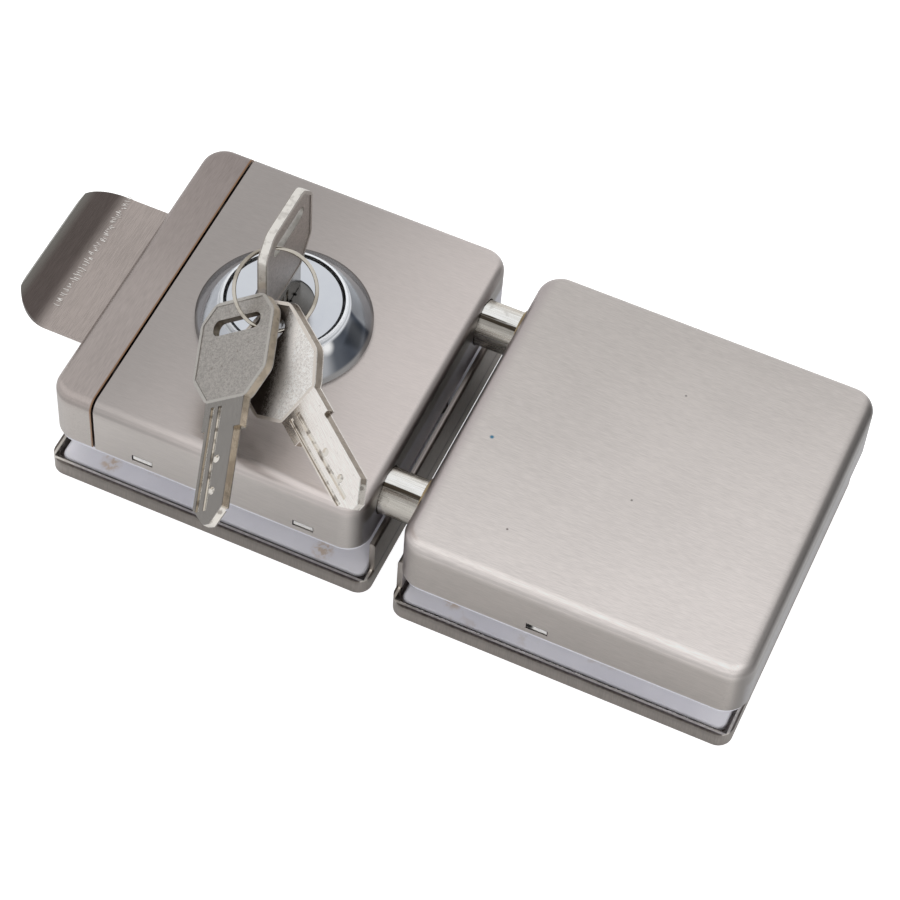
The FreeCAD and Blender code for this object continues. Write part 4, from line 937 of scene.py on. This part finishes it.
@dataclass
class Covers:
    """The two covers and the sliding strip with its finger pull."""

    # Each cover's two tones make a painted light and shade gradient over its top, and its walls carry painted shade,
    # darker on those that face right.
    lock: Brushed = Brushed(
        "lock_cover_brushed", (0.415, 0.383, 0.368), (0.76, 0.695, 0.67), slope=(1.0, -0.3, 0.0),
        span=(-0.03, 0.045), contrast=0.06, wall=Wall((0.575, 0.54, 0.515)), right=0.45)
    # The strike's end shades are painted shade at its left and right ends.
    strike: Brushed = Brushed(
        "strike_cover_brushed", (0.60, 0.56, 0.535), (0.84, 0.785, 0.76), slope=(0.5, -1.0, 0.0),
        span=(-0.01, 0.11), contrast=0.09, wall=Wall((0.475, 0.44, 0.415)), right=0.45, far_wall_shade=0.45,
        spots_and_nicks=(((0.0576, -0.0097, 0.0325), 0.0007, (0.07, 0.22, 0.34)),
               ((0.0710, -0.0316, 0.0325), 0.0004, (0.24, 0.21, 0.20)),
               ((0.0934, 0.0211, 0.0325), 0.0004, (0.26, 0.24, 0.23)),
               ((0.0932, -0.0119, 0.0325), 0.0004, (0.26, 0.24, 0.23))),
        end_shades=((0.0497, 0.0545, (0.44, 0.385, 0.39)), (0.1338, 0.1308, (0.23, 0.215, 0.208))))
    # The strip's tones make a painted shade gradient, darker towards the back.
    strip: Brushed = Brushed(
        "strip_brushed", (0.45, 0.40, 0.38), (0.34, 0.295, 0.28), Grain.ALONG_Y, slope=(0.0, 1.0, 0.0),
        span=(-0.02, 0.045), contrast=0.11, wall=Wall((0.53, 0.495, 0.47)),
        edge=(-0.0289, 0.0004, (0.30, 0.17, 0.09)))
    # The pull's dark tone is a painted dark reflection on its curled lip, and its edge a painted highlight along the
    # lip's rounded rim.
    pull: Brushed = Brushed(
        "pull_brushed", (0.115, 0.095, 0.088), (0.45, 0.395, 0.37), Grain.ALONG_Y,
        span=(-0.0545, -0.0500), roughness=0.30, contrast=0.13, edge=(-0.0609, 0.0030, (0.27, 0.262, 0.24)))

    def build(self) -> None:
        """Dress the covers, the strip and the pull."""
        dress("lock_cover", self.lock.build())
        dress("strike_cover", self.strike.build())
        dress("slide_strip", self.strip.build())
        dress("finger_pull", self.pull.build())


def tray(name: str, rim: Rim) -> Brushed:
    """Return the brushed steel of a tray, with the outline that its rim runs round."""
    return Brushed(name, (0.40, 0.365, 0.34), (0.44, 0.405, 0.38), Grain.UPRIGHT, contrast=0.12, rim=rim)


@dataclass
class Clamps:
    """The trays, base plates, pads and posts that grip the glass."""

    lock_tray: Brushed = tray("lock_tray_brushed", Rim(-0.0413, 0.0419, -0.0425, 0.0425))
    strike_tray: Brushed = tray("strike_tray_brushed", Rim(0.0483, 0.1330, -0.0440, 0.0417))
    plate: Brushed = Brushed(
        "plate_zinc", (0.92, 0.91, 0.90), (0.49, 0.49, 0.49), Grain.ROUND, slope=(0.0, 1.0, 0.0),
        span=(-0.0415, -0.0395), roughness=0.4,
        # A black spot on the plate inside the strike's window.
        spots_and_nicks=(((0.0830, -0.0444, 0.0186), 0.0014, (0.01, 0.01, 0.01)),))
    rear: Moulded = Moulded(
        "rear_pad_rubber", (0.79, 0.78, 0.83), (0.87, 0.86, 0.90), 0.55, 0.32,
        ((0.0284, -0.0374, 0.004), (-0.0275, -0.0372, 0.004), (0.0618, -0.0366, 0.004)))
    front: Moulded = Moulded("front_pad_rubber", (0.62, 0.62, 0.68), (0.70, 0.70, 0.75), 0.55)

    def build(self) -> None:
        """Dress both clamps."""
        plate, rear, front = (part.build() for part in (self.plate, self.rear, self.front))
        for unit, steel in (("lock", self.lock_tray), ("strike", self.strike_tray)):
            dress(unit + "_tray", steel.build())
            dress(unit + "_rear_pad", rear)
            dress(unit + "_front_pad", front)
            for piece in ("_base", "_posts", "_clamp_screws"):
                dress(unit + piece, plate)


@dataclass(frozen=True)
class Turned:
    """A bright rod along X, with painted reflections: bands of painted highlight and shade by the angle round its axis,
    as they lie along a polished rod.
    """

    name: str
    middle: Span
    # Painted reflections: highlight and dark bands by the angle round the rod.
    reflection_bands: Stops = (
        (-180.0, (0.50, 0.47, 0.43)), (-146.0, (0.22, 0.20, 0.175)), (-90.0, (0.32, 0.30, 0.27)),
        (34.0, (0.50, 0.45, 0.39)), (58.0, (0.66, 0.61, 0.54)), (84.0, (0.98, 0.97, 0.94)),
        (106.0, (1.0, 1.0, 0.98)), (110.0, (0.07, 0.055, 0.04)), (117.0, (0.05, 0.04, 0.03)),
        (123.0, (0.36, 0.34, 0.31)), (146.0, (0.62, 0.59, 0.54)), (180.0, (0.50, 0.47, 0.43)))
    stretch: Triple = (120.0, 2600.0, 2600.0)
    sway: float = 0.05
    gain: Span = (0.88, 1.08)
    gloss: Span = (0.20, 0.30)
    soot: Colour = (0.12, 0.095, 0.07)
    soot_way: tuple[float, ...] = (0.56, 0.72, 0.0, 0.25)
    soot_scale: float = 420.0

    def build(self) -> Material:
        """Build the material.

        Returns:
            The material.
        """
        finish = Finish(self.name, 1.0, 0.24)
        streak = finish.noise(finish.scaled(finish.place, self.stretch), 1.0)
        turn = finish.maths("ARCTAN2", finish.maths("SUBTRACT", finish.z, self.middle[1]),
                            finish.maths("SUBTRACT", finish.y, self.middle[0]))
        turn = finish.maths("ADD", turn, finish.ramp(streak, *NOISE_SPAN, -self.sway, self.sway))
        # Painted reflection bands by the angle round the rod's axis.
        tone = finish.lit(finish.wheel(turn, self.reflection_bands), finish.ramp(streak, *NOISE_SPAN, *self.gain))
        sooty = finish.ramp(finish.cloud(self.soot_scale), *self.soot_way)
        finish.paint("Base Color", finish.blend(sooty, tone, self.soot))
        finish.paint("Roughness", finish.ramp(streak, *NOISE_SPAN, *self.gloss))
        return finish.material


@dataclass
class Mechanism:
    """The bolts, the slide, the guides and what holds them."""

    front: Turned = Turned("bolt_front_nickel", (-0.0284, 0.0244))
    rear: Turned = Turned("bolt_rear_nickel", (0.0261, 0.0244))
    plastic: Moulded = Moulded("guide_plastic", (0.035, 0.035, 0.038), (0.05, 0.05, 0.055), 0.5)
    sleeve: Polished = Polished("sleeve_brass", (0.42, 0.33, 0.20), (0.25, 0.19, 0.12), 0.25, 0.2)
    steel: Brushed = Brushed(
        "inner_steel", (0.36, 0.36, 0.37), (0.48, 0.48, 0.49), Grain.ROUND, roughness=0.4)
    brass: Polished = Polished("tumbler_brass", (0.70, 0.53, 0.27), (0.55, 0.40, 0.20), 0.2, 0.1)

    def build(self) -> None:
        """Dress the mechanism."""
        parts = {self.front: ("bolt_front",), self.rear: ("bolt_rear",),
                 self.plastic: ("guide_bars", "receiver_bar", "slide_block"),
                 self.sleeve: ("receiver_sleeves",),
                 self.steel: ("slide_plate", "guide_screws", "plate_screws", "pull_screws", "bolt_screws",
                              "receiver_screws", "lock_cam", "cam_ring", "cylinder_nut", "pin_springs"),
                 self.brass: ("key_pins", "driver_pins", "pin_plugs")}
        for finish, nodes in parts.items():
            material = finish.build()
            for node in nodes:
                dress(node, material)


@dataclass(frozen=True)
class Dome:
    """Chrome that reflects as a smooth dome about the cylinder's axis, with a painted dark reflection at its foot.

    The dome runs from inner to radius. Its normals lean out by lean_start, and by lean_more on top of that at
    the radius. Its tones are painted reflections that go round it by the stops and turn by slant for each metre
    outwards; a painted glint lies on it, and its lip is a matt pale tone, a painted sheen, with a painted shade line.
    """

    name: str
    foot_reflection: Colour
    # Painted reflections round the dome, by angle.
    reflection_stops: Stops = (
        (-180.0, (0.50, 0.52, 0.56)), (-100.0, (0.52, 0.54, 0.58)), (-62.0, (0.30, 0.30, 0.31)),
        (-42.0, (0.17, 0.175, 0.18)), (-30.0, (0.42, 0.43, 0.45)), (-18.0, (0.11, 0.12, 0.14)),
        (-4.0, (0.075, 0.085, 0.105)), (9.0, (0.16, 0.17, 0.19)), (18.0, (0.060, 0.070, 0.090)),
        (21.5, (0.25, 0.26, 0.28)), (48.0, (0.36, 0.38, 0.41)), (78.0, (0.62, 0.65, 0.69)),
        (120.0, (0.50, 0.53, 0.57)), (180.0, (0.50, 0.52, 0.56)))
    radius: float = 0.021
    inner: float = 0.0145
    lean_start: float = 0.28
    lean_more: float = 1.25
    slant: float = math.radians(1200.0)
    foot_inset: Span = (0.0009, 0.0002)
    # A painted glint.
    glint: Triple = (0.0148, -0.0073, 0.0385)
    glint_reach: float = 0.0026
    lip_width: Span = (0.0013, 0.0008)
    # The lip's matt pale tone is a painted sheen, and its line a painted shade line.
    lip_sheen: Colour = (0.72, 0.74, 0.77)
    lip_shade_place: float = 0.0007
    lip_shade_width: float = 0.00022
    line: Colour = (0.44, 0.46, 0.49)
    cloud_scale: float = 160.0
    smear_gain: Span = (1.05, 0.93)
    gloss: Span = (0.14, 0.20)

    def smooth_normal(self, finish: Finish, flat: Socket, out: Socket) -> Socket:
        """Return the normal of a smooth dome.

        Args:
            finish: the material under construction.
            flat: the place in the plane across the axis.
            out: its distance from the axis.

        Returns:
            The normal in the world's frame.
        """
        share = finish.ramp(out, self.inner, self.radius, even=True)
        lean = finish.maths("ADD", finish.times(share, self.lean_more), self.lean_start)
        aside = finish.lit(finish.vector("NORMALIZE", flat).outputs[0], lean)
        joined = finish.vector("ADD", aside, (0.0, 0.0, 1.0)).outputs[0]
        return finish.to_world(finish.vector("NORMALIZE", joined).outputs[0])

    def build(self) -> Material:
        """Build the material.

        Returns:
            The material.
        """
        finish = Finish(self.name, 1.0, 0.07)
        flat = finish.node("ShaderNodeCombineXYZ", {0: finish.x, 1: finish.y}).outputs[0]
        out = finish.vector("LENGTH", flat).outputs["Value"]
        finish.paint("Normal", self.smooth_normal(finish, flat, out))
        edge = finish.ramp(out, *(self.radius - inset for inset in self.foot_inset))
        cloud = finish.ramp(finish.cloud(self.cloud_scale), *SMEAR_SPAN)
        slant = finish.times(finish.maths("SUBTRACT", out, self.inner), self.slant)
        turn = finish.maths("ADD", finish.maths("ARCTAN2", finish.y, finish.x), slant)
        # Painted reflections by angle, then the painted glint.
        tone = finish.lit(finish.wheel(turn, self.reflection_stops), finish.ramp(cloud, 0.0, 1.0, *self.smear_gain))
        tone = finish.blend(finish.near(finish.place, self.glint, self.glint_reach), tone, (1.0, 1.0, 1.0))
        # Painted sheen on the lip, with a painted shade line.
        lip_sheen = finish.ramp(out, *(self.inner + width for width in self.lip_width))
        line = finish.band(out, self.inner + self.lip_shade_place, self.lip_shade_width)
        tone = finish.blend(lip_sheen, tone, finish.blend(line, self.lip_sheen, self.line))
        finish.paint("Metallic", finish.ramp(lip_sheen, 0.0, 1.0, 1.0, 0.0))
        # Painted dark reflection at the foot.
        finish.paint("Base Color", finish.blend(edge, tone, self.foot_reflection))
        finish.paint("Roughness", finish.ramp(cloud, 0.0, 1.0, *self.gloss))
        return finish.material


@dataclass
class Cylinder:
    """The rosette, the cylinder's head and its plug."""

    # The rosette's tones are painted reflections, with a painted glint and a painted dark reflection at its foot.
    rosette: Dome = Dome("rosette_chrome", (0.31, 0.305, 0.305))
    head: Polished = Polished("head_chrome", (0.74, 0.77, 0.82), (0.70, 0.73, 0.79), 0.08, 0.04)
    # The plug's two black dots are painted shade for the mouths of small holes.
    plug: Polished = Polished("plug_nickel", (0.23, 0.228, 0.225), (0.17, 0.168, 0.165), 0.22, 0.08,
                              ((0.0014, 0.0028, 0.0394), (0.0013, 0.0006, 0.0394)))

    def build(self) -> None:
        """Dress the cylinder."""
        dress("rosette", self.rosette.build())
        dress("cylinder_body", self.head.build())
        dress("cylinder_plug", self.plug.build())


@dataclass(frozen=True)
class BowShade:
    """A painted shade over a key's bow, the dark reflection of the other key: the slopes of its edge across and along
    the key, and its place.
    """

    across: float
    along: float
    edge: float
    ragged: float = 4.5
    soft: Span = (5.5, -3.0)
    share: float = 0.96


@dataclass(frozen=True)
class KeyLook:
    """The tones of one key, each set to how it shows in the light, so painted light and shade that differ from key to
    key, its painted shade on the bow, and how its bow's normals are lifted.
    """

    node: str
    pose: KeyPose
    face: Colour
    rim: Colour
    side: Colour
    blade: Colour
    bow_shade: BowShade | None = None
    lift: Triple = (0.0, 0.0, 0.0)


class KeyNickel(Finish):
    """A key's nickel: grained sunk faces, plain rims, warm sides and a blade with brown grooves.

    Lengths are millimetres down the key, across it and out from its middle plane. Each span of lengths holds
    where a mask starts and where it is full. Stains and spots have a scale and a threshold.
    """

    half_thick = 1.2
    bow_end = (25.1, 24.6)
    rim_level = (1.08, 1.14)
    sunk_level = (1.12, 1.05)
    side_level = (0.95, 0.88)
    slot_middle = 6.35
    slot_high = (2.4, 2.2)
    slot_wide = (8.0, 7.7)
    blade_start = (25.6, 25.9)
    groove_wide = (4.2, 3.8)
    tarnish = (0.10, 0.072, 0.05)
    shadow = (0.055, 0.040, 0.030)
    milled = (0.86, 0.82, 0.76)
    grain_scale = 5000.0
    stains = (420.0, 0.5)
    spots = (900.0, 0.62)
    scratch_stretch = (5200.0, 300.0, 5200.0)
    scratch_height = 0.12
    face_gain = (1.14, 0.74)
    blade_gain = (0.94, 1.04)
    slot_shade_gain = 0.6
    side_stain = 0.22
    milled_stain = 0.55
    spot_share = 0.35
    gloss = (0.22, 0.40)
    relief = (0.35, 0.00004)

    def __init__(self, look: KeyLook) -> None:
        """Start on a key's nickel, and bring its places to the key's own frame.

        Args:
            look: the key's tones and place.
        """
        super().__init__(look.node + "_nickel", 1.0, 0.3)
        self.look = look
        back = look.pose.matrix().inverted()
        self.spot = self.node("ShaderNodeMapping", {
            "Vector": self.place, "Location": back.to_translation(), "Rotation": back.to_euler("XYZ"),
        }, vector_type="POINT").outputs[0]
        across, along, out = self.parts(self.spot)
        self.across = self.times(across, TO_MM)
        self.length = self.times(along, -TO_MM)
        self.level = self.maths("ABSOLUTE", self.maths("ADD", self.times(out, TO_MM), self.half_thick))
        self.bow = self.ramp(self.length, *self.bow_end)

    def blotches(self, scale: float, reach: float) -> Socket:
        """Return the key's stains."""
        return self.group(Shared.blotches(), "Mask", Place=self.spot, Scale=scale, Reach=reach)

    def sides(self) -> Socket:
        """Return the tone of the cut sides: warm, darker in the slot with painted shade, and brown in the blade's
        grooves.

        Returns:
            The tone.
        """
        stain = self.blotches(*self.stains)
        warm = self.blend(self.times(stain, self.side_stain), self.look.side, self.tarnish)
        across = self.maths("ABSOLUTE", self.across)
        slot = self.times(self.ramp(self.away(self.length, self.slot_middle), *self.slot_high),
                          self.ramp(across, *self.slot_wide))
        # Painted shade inside the slot.
        warm = self.lit(warm, self.ramp(slot, 0.0, 1.0, 1.0, self.slot_shade_gain))
        grooves = self.times(self.ramp(self.length, *self.blade_start), self.ramp(across, *self.groove_wide))
        cut = self.blend(self.times(stain, self.milled_stain), self.milled, self.tarnish)
        return self.blend(grooves, warm, cut)

    def bow_shaded(self, bow_shade: BowShade, pits: Socket, tone: Socket) -> Socket:
        """Lay the painted shade over the sunk face of the bow, with an edge that the grain makes ragged.

        Args:
            bow_shade: where the veil lies.
            pits: the grain.
            tone: the tone so far.

        Returns:
            The tone with the veil.
        """
        reach = self.mixture((self.across, bow_shade.across), (self.length, bow_shade.along), (pits, bow_shade.ragged))
        dark = self.ramp(reach, *(bow_shade.edge + shift for shift in bow_shade.soft))
        inside = self.times(self.bow, self.ramp(self.level, *self.sunk_level))
        return self.blend(self.times(self.times(dark, inside), bow_shade.share), tone, self.shadow)

    def build(self) -> Material:
        """Build the material.

        Returns:
            The material.
        """
        pits = self.group(Shared.pitting(), "Mask", Place=self.spot, Scale=self.grain_scale)
        scratches = self.group(Shared.brushing(), "Streak", Place=self.spot, Stretch=self.scratch_stretch)
        face = self.lit(self.look.face, self.ramp(pits, 0.0, 1.0, *self.face_gain))
        blade = self.lit(self.look.blade, self.ramp(scratches, 0.0, 1.0, *self.blade_gain))
        rim = self.times(self.ramp(self.level, *self.rim_level), self.bow)
        tone = self.blend(rim, self.blend(self.bow, blade, face), self.look.rim)
        tone = self.blend(self.ramp(self.level, *self.side_level), tone, self.sides())
        tone = self.blend(self.times(self.blotches(*self.spots), self.spot_share), tone, self.tarnish)
        # Painted shade on the bow: the dark reflection of the other key.
        if self.look.bow_shade:
            tone = self.bow_shaded(self.look.bow_shade, pits, tone)
        self.paint("Base Color", tone)
        self.paint("Roughness", self.ramp(self.bow, 0.0, 1.0, *self.gloss))
        lifted = self.vector("ADD", self.facing, self.lit(self.look.lift, self.bow)).outputs[0]
        height = self.mixture((pits, self.bow), (scratches, self.scratch_height))
        self.bump(height, *self.relief, self.to_world(lifted))
        return self.material


@dataclass
class Keys:
    """The key in the cylinder, the split ring and the two loose keys."""

    # Each key's tones are set to how it shows in the light: painted light and shade, so the same nickel is bright on
    # the back key and dark on the front one.
    looks: tuple[KeyLook, ...] = (
        KeyLook("inserted_key", INSERTED_KEY, (0.40, 0.365, 0.34), (0.46, 0.43, 0.40), (0.90, 0.87, 0.82),
                (0.42, 0.40, 0.38)),
        KeyLook("loose_key_front", FRONT_KEY, (0.455, 0.43, 0.405), (0.53, 0.51, 0.48), (0.52, 0.455, 0.37),
                (0.28, 0.265, 0.25)),
        # The back key carries a painted shade on its bow, the dark reflection of the front key.
        KeyLook("loose_key_back", BACK_KEY, (0.96, 0.92, 0.88), (0.78, 0.72, 0.66), (0.40, 0.35, 0.30),
                (1.0, 0.95, 0.91), BowShade(1.0, 1.45, 22.0), (0.20, 0.10, 0.45)),
    )
    ring: Polished = Polished("ring_nickel", (0.68, 0.64, 0.57), (0.30, 0.26, 0.21), 0.12, 0.08)

    def build(self) -> None:
        """Dress the keys and the ring."""
        for look in self.looks:
            dress(look.node, KeyNickel(look).build())
        dress("key_ring", self.ring.build())


@dataclass
class PressMarks:
    """Rows of small raised tool marks, scattered along a line by geometry nodes."""

    name: str
    body: Body
    start: Triple
    finish: Triple
    count: int
    size: Triple
    seed: int
    material: Material
    jitter: Triple
    spin: Triple = (0.0, 0.0, 0.25)
    least: Triple = (0.4, 0.6, 0.6)
    most: Triple = (1.3, 1.2, 1.0)

    def given(self) -> dict[str, object]:
        """Return the tree's inputs, each with its value."""
        return {"Start": self.start, "Finish": self.finish, "Count": self.count, "Size": self.size}

    def tree(self) -> Tree:
        """Build the tree: points on a line, a lens-shaped mark on each, turned and sized at random.

        Returns:
            The tree.
        """
        tree = bpy.data.node_groups.new(self.name, "GeometryNodeTree")
        recipe = Recipe(tree)
        given = recipe.take(self.given())
        tree.interface.new_socket(name="Geometry", in_out="OUTPUT", socket_type="NodeSocketGeometry")
        line = recipe.node("GeometryNodeMeshLine", {
            "Count": given["Count"], "Start Location": given["Start"], "Offset": given["Finish"],
        }, mode="END_POINTS")
        moved = recipe.node("GeometryNodeSetPosition", {
            "Geometry": line.outputs[0], "Offset": self.swing(recipe, self.jitter, 1)})
        mark = recipe.node("GeometryNodeMeshUVSphere", {"Segments": 8, "Rings": 5, "Radius": 0.5})
        spread = recipe.node("GeometryNodeInstanceOnPoints", {
            "Points": moved.outputs[0], "Instance": mark.outputs["Mesh"],
            "Rotation": self.swing(recipe, self.spin, 2),
            "Scale": recipe.scaled(given["Size"], self.random(recipe, self.least, self.most, 3))})
        real = recipe.node("GeometryNodeRealizeInstances", {0: spread.outputs[0]})
        painted = recipe.node("GeometryNodeSetMaterial", {
            "Geometry": real.outputs[0], "Material": self.material})
        recipe.node("NodeGroupOutput", {0: painted.outputs[0]})
        return tree

    def swing(self, recipe: Recipe, reach: Triple, shift: int) -> Socket:
        """Add a seeded random vector that goes as far one way as the other."""
        return self.random(recipe, tuple(-side for side in reach), reach, shift)

    def random(self, recipe: Recipe, low: Triple, high: Triple, shift: int) -> Socket:
        """Add a seeded random vector between two limits."""
        feeds = {0: low, 1: high, "Seed": self.seed + shift}
        return recipe.node("FunctionNodeRandomValue", feeds, data_type="FLOAT_VECTOR").outputs[0]

    def build(self) -> None:
        """Bake the marks to one plain mesh that rides on its body."""
        carrier = placed(self.name + "_carrier", bpy.data.meshes.new(self.name + "_carrier"))
        modifier = carrier.modifiers.new("marks", "NODES")
        modifier.node_group = self.tree()
        given = self.given()
        for socket in modifier.node_group.interface.items_tree:
            if socket.in_out == "INPUT":
                modifier[socket.identifier] = given[socket.name]
        graph = bpy.context.evaluated_depsgraph_get()
        graph.update()
        mesh = bpy.data.meshes.new_from_object(carrier.evaluated_get(graph))
        bpy.data.objects.remove(carrier)
        piece = placed(self.name, mesh)
        for face in mesh.polygons:
            face.use_smooth = True
        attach(piece, self.body.value)
        LOG.info("%s: %d faces", self.name, len(mesh.polygons))


def pull_marks() -> PressMarks:
    """Return the row of press marks along the finger pull's bend."""
    bright = Polished("press_mark_bright", (0.98, 0.95, 0.92), (0.80, 0.77, 0.74), 0.3, 0.1).build()
    return PressMarks("pull_marks", Body.SLIDE, (-0.0512, -0.0175, 0.02868), (-0.0512, 0.0200, 0.02868), 76,
                      (0.0017, 0.00024, 0.00016), 7, bright, (0.0006, 0.0004, 0.0))


def rim_burrs() -> PressMarks:
    """Return the row of burrs along the front rim of the strike's tray."""
    worn = Polished("rim_burr_worn", (0.90, 0.87, 0.83), (0.60, 0.55, 0.49), 0.25, 0.15).build()
    return PressMarks("rim_burrs", Body.STRIKE, (0.0515, -0.0430, 0.00476), (0.1300, -0.0430, 0.00476), 190,
                      (0.0010, 0.00034, 0.00005), 19, worn, (0.0004, 0.00010, 0.0))


def main() -> None:
    """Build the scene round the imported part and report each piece."""
    logging.basicConfig(level=logging.INFO, format="%(name)s: %(message)s")
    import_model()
    cad_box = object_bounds()
    Camera().build()
    Studio().build()
    for part in (Covers(), Clamps(), Mechanism(), Cylinder(), Keys(), pull_marks(), rim_burrs()):
        part.build()
        LOG.info("%s: built", type(part).__name__)
    shown_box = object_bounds()
    plain = [[list(corner) if hasattr(corner, "__len__") else corner for corner in box] for box in (cad_box, shown_box)]


if __name__ == "__main__":
    main()
